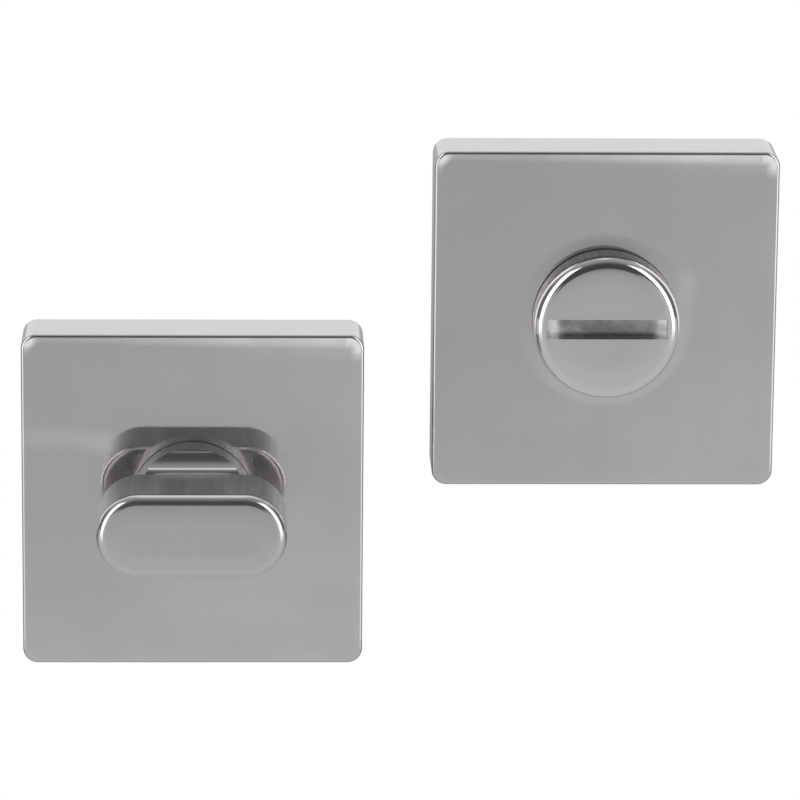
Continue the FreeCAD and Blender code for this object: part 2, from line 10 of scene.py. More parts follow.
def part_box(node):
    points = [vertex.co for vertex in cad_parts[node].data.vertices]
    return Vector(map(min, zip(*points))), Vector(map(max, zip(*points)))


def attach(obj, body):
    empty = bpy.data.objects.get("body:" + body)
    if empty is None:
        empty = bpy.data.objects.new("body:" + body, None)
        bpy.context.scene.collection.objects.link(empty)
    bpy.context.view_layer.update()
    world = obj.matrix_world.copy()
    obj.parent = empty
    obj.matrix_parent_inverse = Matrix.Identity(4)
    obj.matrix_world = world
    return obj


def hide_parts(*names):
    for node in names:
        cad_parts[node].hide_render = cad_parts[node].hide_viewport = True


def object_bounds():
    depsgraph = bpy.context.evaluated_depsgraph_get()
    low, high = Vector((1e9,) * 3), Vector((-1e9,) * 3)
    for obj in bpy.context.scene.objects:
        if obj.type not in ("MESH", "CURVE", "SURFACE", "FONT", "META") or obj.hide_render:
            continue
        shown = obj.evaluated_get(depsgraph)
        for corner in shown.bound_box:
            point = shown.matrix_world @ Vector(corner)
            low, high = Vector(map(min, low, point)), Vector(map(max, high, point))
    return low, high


bl_info = {
    "name": "Bathroom thumb turn lock",
    "version": (1, 0, 0),
    "blender": (4, 5, 0),
    "location": "3D View > Sidebar > Lock",
    "description": "Models and finishes the two halves of a bathroom lock around their solids",
    "category": "Object",
}

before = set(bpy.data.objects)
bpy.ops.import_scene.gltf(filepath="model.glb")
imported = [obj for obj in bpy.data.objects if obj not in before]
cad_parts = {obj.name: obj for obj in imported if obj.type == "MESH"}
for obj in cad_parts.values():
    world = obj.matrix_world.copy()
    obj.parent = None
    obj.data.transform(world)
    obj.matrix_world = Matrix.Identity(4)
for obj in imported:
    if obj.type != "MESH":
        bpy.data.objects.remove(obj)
CAD_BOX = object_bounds()

# Metres in the file, millimetres in the sizes below
MM = 0.001

# Lengths that count as nothing, and how far a cutter reaches out of what it cuts
MERGE = 1e-7
CLOSE = MERGE * 10
LINE_PLAY = MERGE * 100
OVERCUT = 1.0 * MM

# How finely round shapes are divided
CORNER_STEPS = 14
EDGE_STEPS = 10
SMALL_EDGE_STEPS = 3
END_STEPS = 48
TURNED_STEPS = 128
SMALL_STEPS = 48
SLOT_STEPS = 16
FLAT_STEPS = 24
SIDE_STEPS = 40
SCOOP_STEPS = 18
THREAD_ROWS = 8
CROWN_RINGS = 6
SWELL_RINGS = 10

# Places of the finishes on a piece that has more than one
POLISH = 0
WALLS = 1
SLOT_FLOOR = 2

# Which faces and edges count as walls, fronts and sharp
WALL_TILT = 0.05
FACING = 0.99
SHARP_ANGLE = math.radians(28)

# Curve of the outside rose's swell, sides of the set screw's key, and depth of a sleeve's thread to a bolt's
SWELL_POWER = 1.25
KEY_SIDES = 6
SLEEVE_THREAD = 0.8

# Width of the camera's sensor in millimetres
SENSOR_WIDTH = 36.0

# Roughness of the soft sheen that lies over the mirror of buffed steel
SHEEN_ROUGHNESS = 0.42


def length(name, description, millimetres):
    """A property for a length, given in millimetres."""
    return FloatProperty(name=name, description=description, default=millimetres * MM, unit="LENGTH",
                         precision=6)


def angle(name, description, degrees):
    """A property for an angle, given in degrees."""
    return FloatProperty(name=name, description=description, default=math.radians(degrees), subtype="ANGLE")


def colour(name, description, red, green, blue):
    """A property for a colour, as linear red, green and blue."""
    return FloatVectorProperty(name=name, description=description, default=(red, green, blue),
                               subtype="COLOR", size=3, min=0.0, max=1.0)


def share(name, description, value):
    """A property for a plain number, such as a roughness or a light level."""
    return FloatProperty(name=name, description=description, default=value, min=0.0, precision=3)


class RoseSizes(bpy.types.PropertyGroup):
    """The square covers."""
    corner_radius: length("Corner radius", "Corner of the square in plan", 2.2)
    edge_radius: length("Edge radius", "Rounding around the face", 0.45)
    side_wall: length("Side wall", "Metal at the sides", 1.5)
    front_wall: length("Front wall", "Metal at the face", 1.5)
    bore_radius: length("Bore radius", "Hole for the bush", 7.36)
    bush_play: length("Bush play", "Flange of the bush to the swell around it", 0.55)
    swell_width: length("Swell width", "Ring of the outside rose's face that rises to the bush", 2.2)
    swell_rise: length("Swell rise", "How far that ring rises", 0.1)
    # The band along the edge is rougher and hazier, and its tint is a painted highlight
    rim_start: length("Rim start", "Outline to the band that the buffing wheel leaves dull", 0.38)
    rim_width: length("Rim width", "That band across", 0.9)
    # Painted glint: the rim's painted highlight grows in the upper corners
    corner_glow: length("Corner glow", "Reach of the brighter patch in the upper corners", 0.8)


class StemSizes(bpy.types.PropertyGroup):
    """The shank, boss and neck behind the head of the thumb turn, and the shank of the release."""
    shank_radius: length("Shank radius", "Shank in its bush", 6.0)
    groove_radius: length("Groove radius", "Bottom of the circlip groove", 5.75)
    groove_front: length("Groove front", "Depth of the groove's front wall", 6.71)
    groove_back: length("Groove back", "Depth of the groove's back wall", 5.61)
    socket_width: length("Socket width", "Square hole for the spindle", 5.1)
    turn_socket_depth: length("Turn socket depth", "Square hole in the turn", 18.0)
    release_socket_depth: length("Release socket depth", "Square hole in the release", 9.0)
    boss_back: length("Boss back", "Depth of the boss's back face", 9.65)
    land_front: length("Land front", "Depth where the hollows start", 13.4)
    scoop_radius: length("Scoop radius", "Hollow above and below the neck", 2.8)
    neck_step: length("Neck step", "Head flat to neck flat", 0.3)
    running_play: length("Running play", "Shank to the bore of its bush", 0.05)
    press_play: length("Press play", "Bush to the bore of its rose", 0.01)
    moulded_edge: length("Moulded edge", "Rounding on bushes and washers", 0.1)
    washer_bore: length("Washer bore", "Hole in a spring washer", 6.2)
    washer_thickness: length("Washer thickness", "Spring washer along the axis", 0.5)


class HeadSizes(bpy.types.PropertyGroup):
    """The stadium head of the thumb turn."""
    thickness: length("Thickness", "Flat to flat", 12.3)
    depth: length("Depth", "Back to front", 12.8)
    front_radius: length("Front radius", "Rounding around the front", 1.35)
    back_radius: length("Back radius", "Rounding around the back", 1.0)
    crown_width: length("Crown width", "Band inside the front's edge that falls away", 2.6)
    crown_rise: length("Crown rise", "How far that band falls away", 0.09)


class ReleaseSizes(bpy.types.PropertyGroup):
    """The coin release disc."""
    disc_back: length("Disc back", "Depth of the disc's back face", 9.8)
    edge_radius: length("Edge radius", "Rounding around the front", 1.6)
    slot_width: length("Slot width", "Coin slot across", 2.9)
    slot_depth: length("Slot depth", "Coin slot at its middle", 2.0)
    slot_length: length("Slot length", "Coin slot from end to end", 17.4)
    slot_flat: length("Slot flat", "Flat part of the slot's floor", 11.3)
    slot_end_radius: length("Slot end radius", "Arc at each end of the floor", 5.6)
    crown_width: length("Crown width", "Band inside the face's edge that falls away", 4.0)
    crown_rise: length("Crown rise", "How far that band falls away", 0.11)


class FixingSizes(bpy.types.PropertyGroup):
    """Bolts, sleeves, set screw and spindle."""
    bolt_radius: length("Bolt radius", "Thread of the bolts, outside", 2.0)
    bolt_neck_radius: length("Bolt neck radius", "Plain neck under the head", 2.2)
    bolt_neck_end: length("Bolt neck end", "Depth where the thread starts", -0.5)
    bolt_tip: length("Bolt tip", "Chamfer at the tip", 0.6)
    head_back: length("Head back", "Depth of the underside of a head", 4.7)
    head_edge: length("Head edge", "Rounding of a head", 0.6)
    cross_length: length("Cross length", "Cross recess from end to end", 4.2)
    cross_width: length("Cross width", "Arm of the cross recess", 1.0)
    cross_depth: length("Cross depth", "Cross recess", 1.5)
    sleeve_radius: length("Sleeve radius", "Sleeves, outside", 2.8)
    sleeve_bore: length("Sleeve bore", "Tapping bore of the sleeves", 1.7)
    bolt_pitch: length("Bolt pitch", "Thread of the bolts and sleeves", 0.7)
    screw_pitch: length("Screw pitch", "Thread of the set screw", 0.5)
    thread_share: share("Thread depth", "Depth of a thread as a share of its pitch", 0.5)
    screw_cup: length("Screw cup", "Chamfer at the point of the set screw", 0.4)
    key_width: length("Key width", "Hexagon key of the set screw", 1.5)
    key_depth: length("Key depth", "Depth of that key hole", 1.2)
    spindle_chamfer: length("Spindle chamfer", "Chamfer on the spindle's ends", 0.5)
    spindle_edge: length("Spindle edge", "Rounding along the spindle", 0.2)


class FinishColours(bpy.types.PropertyGroup):
    """Colours of the finishes."""
    steel: colour("Steel", "Polished stainless steel", 0.595, 0.580, 0.587)
    steel_warm: colour("Steel, warm", "Where the polish is a little warmer", 0.632, 0.611, 0.603)
    # Lighter steel: random tone and fine lines on the disc and walls, and the painted light on the roses'
    # right and lower parts
    steel_bright_and_painted_light: colour("Steel, bright", "Where the polish is a little brighter", 0.70, 0.684, 0.69)
    steel_dull: colour("Steel, dull", "Where a rose is smeared or streaked", 0.57, 0.556, 0.56)
    steel_disc: colour("Steel of the disc", "The coin release, polished brighter", 0.676, 0.658, 0.663)
    # Near-white tint of the painted highlights: the rose's rim band and the patches beside the thumb turn
    # and the disc
    steel_highlight: colour("Steel rim", "Dull band along the edge of a rose", 0.97, 0.965, 0.96)
    steel_side: colour("Steel sides", "Sides of a rose", 0.575, 0.566, 0.552)
    # This dark steel is also the tint of the painted shade along the roses' lower edges
    slot_steel: colour("Slot steel", "Milled floor of the coin slot", 0.27, 0.269, 0.262)
    black_nylon: colour("Black nylon", "Bushes", 0.022, 0.022, 0.024)
    light_nylon: colour("Light nylon", "Base plates", 0.62, 0.62, 0.60)
    zinc: colour("Zinc", "Plated fixings", 0.56, 0.57, 0.58)
    spring: colour("Spring steel", "Washers, clips and the set screw", 0.10, 0.10, 0.105)


class StudioSettings(bpy.types.PropertyGroup):
    """Camera, floor and light."""
    camera_distance: length("Camera distance", "Camera to its aim", 800.0)
    camera_azimuth: angle("Camera azimuth", "Turn of the camera about the upright", 1.8)
    camera_elevation: angle("Camera elevation", "Camera above the level", 14.916)
    camera_roll: angle("Camera roll", "Turn of the picture", 0.541)
    camera_lens: FloatProperty(name="Lens", description="Focal length on a 36 mm sensor", default=246.094,
                               unit="CAMERA")
    camera_aim: FloatVectorProperty(name="Camera aim", description="Point in the middle of the picture",
                                    default=(30.308 * MM, -8.0 * MM, 14.923 * MM), subtype="TRANSLATION",
                                    precision=6)
    floor_drop: length("Floor drop", "Lowest point of the lock to the floor", 100.0)
    floor_radius: length("Floor radius", "Round floor", 3000.0)
    softbox_level: share("Softbox level", "Light of the two side softboxes", 2.2)
    backdrop_level: share("Backdrop level", "White of the backdrop", 1.0)


class Wire:
    """One shader socket, so that sums on sockets are written as Python expressions."""

    def __init__(self, graph, socket):
        self.graph = graph
        self.socket = socket

    def output(self, name):
        """Another output of the same node."""
        return Wire(self.graph, self.socket.node.outputs[name])

    def sum(self, operation, first, second=0.0):
        """A Math node of one or two values."""
        return self.graph.add("ShaderNodeMath", {"operation": operation}, {0: first, 1: second})

    def __add__(self, other):
        return self.sum("ADD", self, other)

    __radd__ = __add__

    def __sub__(self, other):
        return self.sum("SUBTRACT", self, other)

    def __rsub__(self, other):
        return self.sum("SUBTRACT", other, self)

    def __mul__(self, other):
        return self.sum("MULTIPLY", self, other)

    __rmul__ = __mul__

    def __neg__(self):
        return self.sum("MULTIPLY", self, -1.0)

    def __abs__(self):
        return self.sum("ABSOLUTE", self)

    def bearing(self, other):
        """Angle of the point (other, self), in degrees."""
        return self.sum("ARCTAN2", self, other) * math.degrees(1.0)

    def elevation(self):
        """Angle whose sine this is, in degrees."""
        return self.sum("ARCSINE", self) * math.degrees(1.0)


class Graph:
    """The node tree of one finish, or of the studio."""

    def __init__(self, tree):
        self.tree = tree
        tree.nodes.clear()

    def add(self, kind, settings=None, sockets=None, output=0):
        """Add a node: its settings first, then the values or links of its sockets."""
        node = self.tree.nodes.new(kind)
        for name, value in (settings or {}).items():
            if name == "stops":
                self.set_stops(node.color_ramp, value)
            else:
                setattr(node, name, value)
        for name, value in (sockets or {}).items():
            if isinstance(value, Wire):
                self.tree.links.new(value.socket, node.inputs[name])
            else:
                node.inputs[name].default_value = value
        return Wire(self, node.outputs[output]) if node.outputs else node

    @staticmethod
    def set_stops(ramp, stops):
        """Give a colour ramp its places and greys."""
        while len(ramp.elements) < len(stops):
            ramp.elements.new(1.0)
        for element, (place, tone) in zip(ramp.elements, stops):
            element.position = place
            element.color = opaque(grey(tone))

    def step(self, value, low, high):
        """A smooth rise from 0 at low to 1 at high."""
        return self.add("ShaderNodeMapRange", {"interpolation_type": "SMOOTHSTEP"},
                        {"Value": value, "From Min": low, "From Max": high})

    def band(self, value, low, high, blur):
        """1 between low and high, with soft ends."""
        return self.step(value, low - blur, low + blur) * (1 - self.step(value, high - blur, high + blur))

    def mix(self, factor, first, second):
        """Two colours, mixed."""
        first, second = [tint if isinstance(tint, Wire) else opaque(tint) for tint in (first, second)]
        return self.add("ShaderNodeMix", {"data_type": "RGBA"}, {0: factor, 6: first, 7: second}, output=2)

    def noise(self, scale, detail=2.0, stretch=(1.0, 1.0, 1.0)):
        """Noise over an object, stretched along the axes."""
        return self.add("ShaderNodeTexNoise", {},
                        {"Vector": self.place(stretch), "Scale": scale, "Detail": detail})

    def place(self, stretch=(1.0, 1.0, 1.0), move=(0.0, 0.0, 0.0)):
        """Object coordinates, stretched along the axes and then moved."""
        spot = self.add("ShaderNodeTexCoord", output="Object")
        return self.add("ShaderNodeMapping", {}, {"Vector": spot, "Location": move, "Scale": stretch})

    def vector(self, operation, first, second=(0.0, 0.0, 0.0), output=0):
        """A Vector Math node of one or two vectors."""
        return self.add("ShaderNodeVectorMath", {"operation": operation}, {0: first, 1: second}, output)

    def split(self, vector):
        """The x of a vector, whose other outputs are its y and z."""
        return self.add("ShaderNodeSeparateXYZ", {}, {"Vector": vector})


def opaque(tint):
    """A colour with its alpha."""
    return (*tint, 1.0)


def grey(level):
    """A colour without a hue."""
    return (level, level, level)


def shade(tint, level):
    """A colour made darker or lighter."""
    return tuple(level * part for part in tint)


def between(mask, low, high):
    """A value that runs from low to high as a mask runs from 0 to 1."""
    return low + mask * (high - low)


def bump(graph, height, distance, strength):
    """A normal for a relief that is up to a distance high."""
    return graph.add("ShaderNodeBump", {}, {"Height": height, "Distance": distance, "Strength": strength})


def finish_surface(graph, tint, roughness, normal, metallic=0.0):
    """End a finish in one Principled shader."""
    shader = graph.add("ShaderNodeBsdfPrincipled", {}, {"Base Color": tint, "Roughness": roughness,
                                                        "Normal": normal, "Metallic": metallic})
    graph.add("ShaderNodeOutputMaterial", {}, {"Surface": shader})


def buff(graph, tint, roughness, normal, haze, sheen_roughness=SHEEN_ROUGHNESS):
    """End a steel finish in a mirror and a soft sheen, mixed."""
    steel = {"Base Color": tint, "Metallic": 1.0, "Normal": normal}
    mirror = graph.add("ShaderNodeBsdfPrincipled", {}, {**steel, "Roughness": roughness})
    sheen = graph.add("ShaderNodeBsdfPrincipled", {}, {**steel, "Roughness": sheen_roughness})
    surface = graph.add("ShaderNodeMixShader", {}, {0: haze, 1: mirror, 2: sheen})
    graph.add("ShaderNodeOutputMaterial", {}, {"Surface": surface})


# Buffed steel: its least roughness and haze, and what clouds and fine lines add
BUFF_ROUGHNESS = 0.025
BUFF_HAZE = 0.12
CLOUD_ROUGHNESS = 0.03
CLOUD_HAZE = 0.1
LINE_ROUGHNESS = 0.02
LINE_HAZE = 0.08
LINE_RELIEF = 0.012
DISC_HAZE_SHARE = 0.45


def polish(graph, first, second):
    """Tint, roughness, normal and haze of buffed steel: slow waves, clouds and fine upright lines."""
    waves = graph.noise(scale=110.0, detail=1.0)
    clouds = graph.noise(scale=420.0, detail=3.0)
    lines = graph.noise(scale=3200.0, stretch=(1.0, 1.0, 0.06))
    tint = graph.mix(waves, first, second)
    roughness = BUFF_ROUGHNESS + clouds * CLOUD_ROUGHNESS + lines * LINE_ROUGHNESS
    normal = bump(graph, waves + lines * LINE_RELIEF, distance=0.012 * MM, strength=0.5)
    haze = BUFF_HAZE + clouds * CLOUD_HAZE + lines * LINE_HAZE
    return tint, roughness, normal, haze


def polished_steel(graph, colours):
    """Buffed stainless steel of the thumb turn."""
    buff(graph, *polish(graph, colours.steel, colours.steel_warm))


def disc_steel(graph, colours):
    """Buffed stainless steel of the coin release, with less haze than the rest."""
    tint, roughness, normal, haze = polish(graph, colours.steel_disc, colours.steel_bright_and_painted_light)
    buff(graph, tint, roughness, normal, haze * DISC_HAZE_SHARE)


# Satin walls: their haze, what streaks add to it, and what thumbs have taken off near the axis
SATIN_HAZE = 0.84
STREAK_HAZE = 0.14
WORN_HAZE = 0.3
WORN_START = 5.6 * MM
WORN_FULL = 3.0 * MM


def satin_steel(graph, colours):
    """Stainless steel of the walls behind the polished edges: satin, with fine lines from front to back.

    Thumbs have polished the middle of the head, which is on the axis at x = 0.
    """
    lines = graph.noise(scale=1500.0, detail=3.0, stretch=(1.0, 0.04, 1.0))
    streaks = graph.noise(scale=420.0, stretch=(1.0, 0.03, 1.0))
    clouds = graph.noise(scale=300.0)
    worn = 1 - graph.step(abs(graph.split(graph.place())), WORN_FULL, WORN_START)
    tint = graph.mix(graph.step(lines, low=0.3, high=0.7), colours.steel, colours.steel_bright_and_painted_light)
    normal = bump(graph, lines, distance=0.004 * MM, strength=0.4)
    haze = SATIN_HAZE + graph.step(streaks, low=0.25, high=0.75) * STREAK_HAZE - worn * WORN_HAZE
    buff(graph, tint, between(clouds, low=0.03, high=0.07), normal, haze)


# Tone of a rose: how much painted light brightens it to the right and downwards, over which share of half
# its side, and what smears and streaks change
RIGHT_TONE = 0.8
RIGHT_REACH = 1.4
LOWER_TONE = 0.6
LOWER_REACH = 1.2
SMEAR_TONE = 0.28
SMEAR_HAZE = 0.04
STREAK_TONE = 0.12

# Painted highlights on the roses, beside the thumb turn and the disc, in millimetres from the axis:
# middle across and up, reach across and up, and strength
PAINTED_GLOWS = {
    "turn_rose_cover": ((-20.0, 9.5, 13.0, 2.6, 0.22), (-13.2, 8.6, 5.0, 2.6, 0.3)),
    "release_rose_cover": ((11.8, 5.0, 2.4, 4.0, 0.3),),
}

# Band along the edges of a rose, duller and with a painted highlight: its strength at the left and what the
# right adds, the shares left where it is least mottled and away from the upper edge, its fading, what it
# adds to haze and roughness, and how it fades and widens in the corners
RIM_LEFT = 0.25
RIM_RIGHT = 0.6
RIM_EVEN = 0.6
RIM_BELOW = 0.1
RIM_FADE_START = 0.6
RIM_FADE_END = 1.2
RIM_OUTER_FADE = 1.3
RIM_HAZE = 0.8
RIM_ROUGHNESS = 0.38
CORNER_FADE = 1.5
CORNER_WIDTH = 0.7

# Where the upper and lower edge of a rose start, as a share of half its straight side,
# and the strength of the painted shade, a dark line, along the lower one
EDGE_START = 0.9
LOWER_SHADE = 0.7


def painted_glow(graph, centred, across, up, reach_across, reach_up, strength):
    """A painted highlight on a rose: full in its middle, gone at its reach."""
    apart = graph.vector("SUBTRACT", centred, (across * MM, 0.0, up * MM))
    shares = graph.vector("DIVIDE", apart, (reach_across * MM, 1.0, reach_up * MM))
    return (1 - graph.step(graph.vector("LENGTH", shares, output="Value"), low=0.0, high=1.0)) * strength


def rim_band(graph, rose, parts, past, inward, straight):
    """The band along the edges of a rose, duller and with a painted highlight: mottled, stronger above, to
    the right and in the corners.
    """
    over = graph.split(past)
    nearer = over.sum("MINIMUM", over, over.output("Z"))
    corner = graph.step(nearer, -rose.corner_glow, rose.corner_glow * CORNER_FADE)
    upper = graph.step(parts.output("Z"), straight * EDGE_START, straight)
    right = graph.step(parts, -straight, straight)
    mottle = graph.noise(scale=300.0, stretch=(0.3, 1.0, 1.0))
    strength = (RIM_LEFT + right * RIM_RIGHT) * between(graph.step(mottle, low=0.2, high=0.7), RIM_EVEN, 1.0)
    strength = strength.sum("MINIMUM", strength + corner, 1.0) * between(upper, RIM_BELOW, 1.0)
    band_end = rose.rim_start + rose.rim_width
    wider = right.sum("MAXIMUM", right, corner * CORNER_WIDTH) * band_end
    inner = 1 - graph.step(inward, band_end * RIM_FADE_START, band_end * RIM_FADE_END + wider)
    return inner * graph.step(inward, rose.rim_start, rose.rim_start * RIM_OUTER_FADE) * strength


def polished_rose(graph, colours, node):
    """Buffed stainless steel of a rose: smeared, lighter to the right and below by painted light, with
    painted highlights, a duller band inside its edges that carries a painted highlight, and a dark line of
    painted shade below.
    """
    rose = bpy.context.scene.lock_rose
    low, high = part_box(node)
    across, up = axis_of(node)
    straight = (high.x - low.x) / 2 - rose.corner_radius
    tint, roughness, normal, haze = polish(graph, colours.steel, colours.steel_warm)
    centred = graph.place(move=(-across, 0.0, -up))
    parts = graph.split(centred)
    below = -parts.output("Z")
    # Painted light: the rose's steel turns lighter towards the right and towards the bottom
    painted_light = graph.step(parts, -straight * RIGHT_REACH, straight * RIGHT_REACH) * RIGHT_TONE
    painted_light = painted_light + graph.step(below, 0.0, straight * LOWER_REACH) * LOWER_TONE
    tint = graph.mix(painted_light, tint, colours.steel_bright_and_painted_light)
    patches = graph.noise(scale=75.0, detail=1.0, stretch=(0.7, 1.0, 1.0))
    smears = graph.step(patches, low=0.4, high=0.65)
    stripes = graph.noise(scale=200.0, detail=1.0, stretch=(1.0, 1.0, 0.12))
    streaks = graph.step(stripes, low=0.3, high=0.7)
    tint = graph.mix(smears * SMEAR_TONE + streaks * STREAK_TONE, tint, colours.steel_dull)
    # Painted highlights beside the thumb turn and the disc, in near-white steel
    for glow_patch in PAINTED_GLOWS[node]:
        tint = graph.mix(painted_glow(graph, centred, *glow_patch), tint, colours.steel_highlight)
    past = graph.vector("SUBTRACT", graph.vector("ABSOLUTE", centred), (straight, 1.0, straight))
    outside = graph.vector("MAXIMUM", past, (0.0, 0.0, 0.0))
    inward = rose.corner_radius - graph.vector("LENGTH", outside, output="Value")
    rim = rim_band(graph, rose, parts, past, inward, straight)
    # Painted highlight along the edges: stronger above, to the right and in the corners
    tint = graph.mix(rim, tint, colours.steel_highlight)
    tint = graph.mix(graph.step(inward, MERGE, rose.rim_start / 2), colours.steel_side, tint)
    # Painted shade: a dark line along the lower edge, in the slot floor's dark steel
    lower = graph.step(below, straight * EDGE_START, straight)
    shaded = lower * (1 - graph.step(inward, 0.0, rose.edge_radius)) * LOWER_SHADE
    tint = graph.mix(shaded, tint, colours.slot_steel)
    haze = haze + smears * SMEAR_HAZE + rim * RIM_HAZE
    buff(graph, tint, roughness, normal, haze, SHEEN_ROUGHNESS + rim * RIM_ROUGHNESS)


def turn_rose_steel(graph, colours):
    """Buffed stainless steel of the inside rose."""
    polished_rose(graph, colours, "turn_rose_cover")


def release_rose_steel(graph, colours):
    """Buffed stainless steel of the outside rose."""
    polished_rose(graph, colours, "release_rose_cover")


# How strongly stains, specks and grain show in the plainer finishes, and the hue of duller zinc
STAIN_TONE = 0.55
SPECK_TONE = 0.35
ZINC_GRAIN = 0.06
ZINC_BLUE = (0.86, 0.92, 1.0)


def slot_steel(graph, colours):
    """The cutter's finish on the floor of the coin slot: dull and stained, with fine lines along it."""
    lines = graph.noise(scale=5200.0, stretch=(0.08, 1.0, 1.0))
    stains = graph.step(graph.noise(scale=420.0), low=0.3, high=0.7)
    tint = graph.mix(stains * STAIN_TONE, colours.slot_steel, colours.steel)
    normal = bump(graph, lines, distance=0.01 * MM, strength=0.4)
    finish_surface(graph, tint, between(lines, low=0.2, high=0.32), normal, metallic=1.0)


def black_nylon(graph, colours):
    """Moulded black nylon with a fine grain."""
    grain = graph.noise(scale=2600.0, detail=3.0)
    clouds = graph.noise(scale=300.0)
    tint = graph.mix(clouds, shade(colours.black_nylon, level=0.6), colours.black_nylon)
    normal = bump(graph, grain, distance=0.02 * MM, strength=0.5)
    finish_surface(graph, tint, between(grain, low=0.46, high=0.62), normal)


def light_nylon(graph, colours):
    """Moulded light grey nylon: slightly cloudy, with a fine grain and a few darker specks."""
    grain = graph.noise(scale=1900.0, detail=4.0)
    clouds = graph.noise(scale=160.0, detail=3.0)
    specks = graph.step(graph.noise(scale=2400.0, detail=1.0), low=0.70, high=0.78)
    cloudy = graph.mix(clouds, shade(colours.light_nylon, level=0.86), colours.light_nylon)
    tint = graph.mix(specks * SPECK_TONE, cloudy, shade(colours.light_nylon, level=0.6))
    normal = bump(graph, grain, distance=0.02 * MM, strength=0.35)
    finish_surface(graph, tint, between(grain, low=0.38, high=0.58), normal)


def zinc_plate(graph, colours):
    """Bright zinc plate: satin, faintly blue and a little patchy."""
    patches = graph.noise(scale=240.0, detail=4.0)
    grain = graph.noise(scale=3000.0)
    bluer = tuple(level * part for level, part in zip(ZINC_BLUE, colours.zinc))
    tint = graph.mix(patches, bluer, colours.zinc)
    roughness = between(patches, low=0.2, high=0.34) + grain * ZINC_GRAIN
    normal = bump(graph, grain, distance=0.01 * MM, strength=0.3)
    finish_surface(graph, tint, roughness, normal, metallic=1.0)


def spring_steel(graph, colours):
    """Phosphated spring steel: dark grey with an oily sheen."""
    patches = graph.noise(scale=500.0, detail=4.0)
    grain = graph.noise(scale=4200.0)
    tint = graph.mix(patches, colours.spring, shade(colours.spring, level=1.7))
    normal = bump(graph, grain, distance=0.01 * MM, strength=0.3)
    finish_surface(graph, tint, between(patches, low=0.34, high=0.54), normal, metallic=0.8)


FINISHES = {
    "polished_stainless": polished_steel,
    "polished_disc": disc_steel,
    "satin_stainless": satin_steel,
    "polished_turn_rose": turn_rose_steel,
    "polished_release_rose": release_rose_steel,
    "milled_slot": slot_steel,
    "bush_nylon": black_nylon,
    "plate_nylon": light_nylon,
    "bright_zinc": zinc_plate,
    "phosphated_spring": spring_steel,
}


def finish(name):
    """A finish by name, made the first time it is asked for."""
    material = bpy.data.materials.get(name)
    if material is None:
        material = bpy.data.materials.new(name)
        material.use_nodes = True
        FINISHES[name](Graph(material.node_tree), bpy.context.scene.lock_colours)
    return material


def block(low, high):
    """A closed box between two corners."""
    low = Vector(low)
    high = Vector(high)
    shape = bmesh.new()
    spread = Matrix.LocRotScale((low + high) / 2, None, high - low)
    bmesh.ops.create_cube(shape, size=1.0, matrix=spread)
    return shape


def rod(start, end, radius, steps):
    """A closed round or many sided bar between two points."""
    start = Vector(start)
    end = Vector(end)
    along = end - start
    shape = bmesh.new()
    turn = along.to_track_quat("Z", "Y").to_matrix().to_4x4()
    bmesh.ops.create_cone(shape, cap_ends=True, segments=steps, radius1=radius, radius2=radius,
                          depth=along.length, matrix=Matrix.Translation((start + end) / 2) @ turn)
    return shape


def turned(profile, axis, steps):
    """A profile of (depth, radius) corners turned about an axis that runs into the door."""
    across, up = axis
    shape = bmesh.new()
    corners = [shape.verts.new((across + radius, -depth, up)) for depth, radius in profile]
    lines = [shape.edges.new(pair) for pair in zip(corners, corners[1:])]
    bmesh.ops.spin(shape, geom=corners + lines, cent=(across, 0, up), axis=(0, 1, 0),
                   angle=math.tau, steps=steps, use_merge=True)
    tidy(shape)
    return shape


def tidy(shape):
    """Merge doubles and turn the faces outwards."""
    bmesh.ops.remove_doubles(shape, verts=shape.verts, dist=MERGE)
    bmesh.ops.recalc_face_normals(shape, faces=shape.faces)


def round_edges(shape, edges, radius, steps):
    """Bevel edges: round, or with one step a chamfer."""
    bmesh.ops.bevel(shape, geom=list(edges), offset=radius, offset_type="OFFSET", affect="EDGES",
                    segments=steps, profile=0.5, material=-1, loop_slide=True, clamp_overlap=True)


def near(first, second):
    """Whether two lengths are the same."""
    return abs(first - second) < CLOSE


def edges_lengthwise(shape):
    """Edges that run from front to back."""
    return [edge for edge in shape.edges if not near(edge.verts[0].co.y, edge.verts[1].co.y)]


def edges_at_depth(shape, depth):
    """Edges that lie whole at one depth."""
    return [edge for edge in shape.edges if all(near(vert.co.y, -depth) for vert in edge.verts)]


def rim_at(shape, depth, radius, axis):
    """The circle of edges at one depth and radius."""
    across, up = axis

    def on_rim(vert):
        return near(math.hypot(vert.co.x - across, vert.co.z - up), radius)
    return [edge for edge in edges_at_depth(shape, depth) if all(on_rim(vert) for vert in edge.verts)]


def front_face(shape):
    """The largest face that looks at the user."""
    facing = [face for face in shape.faces if face.normal.y < -FACING]
    return max(facing, key=lambda face: face.calc_area())


def thicken(shape, along):
    """Mirror half an outline across x, join its open ends to their images, fill it and extrude it."""
    bmesh.ops.mirror(shape, geom=shape.verts[:] + shape.edges[:], axis="X", merge_dist=MERGE)
    ends = [vert for vert in shape.verts if len(vert.link_edges) == 1]
    for start in [vert for vert in ends if vert.co.x > 0]:
        image = Vector((-start.co.x, start.co.y, start.co.z))
        shape.edges.new((start, min(ends, key=lambda vert: (vert.co - image).length)))
    filled = bmesh.ops.edgeloop_fill(shape, edges=shape.edges)
    grown = bmesh.ops.extrude_face_region(shape, geom=filled["faces"])
    moved = [item for item in grown["geom"] if isinstance(item, bmesh.types.BMVert)]
    bmesh.ops.translate(shape, verts=moved, vec=along)
    tidy(shape)


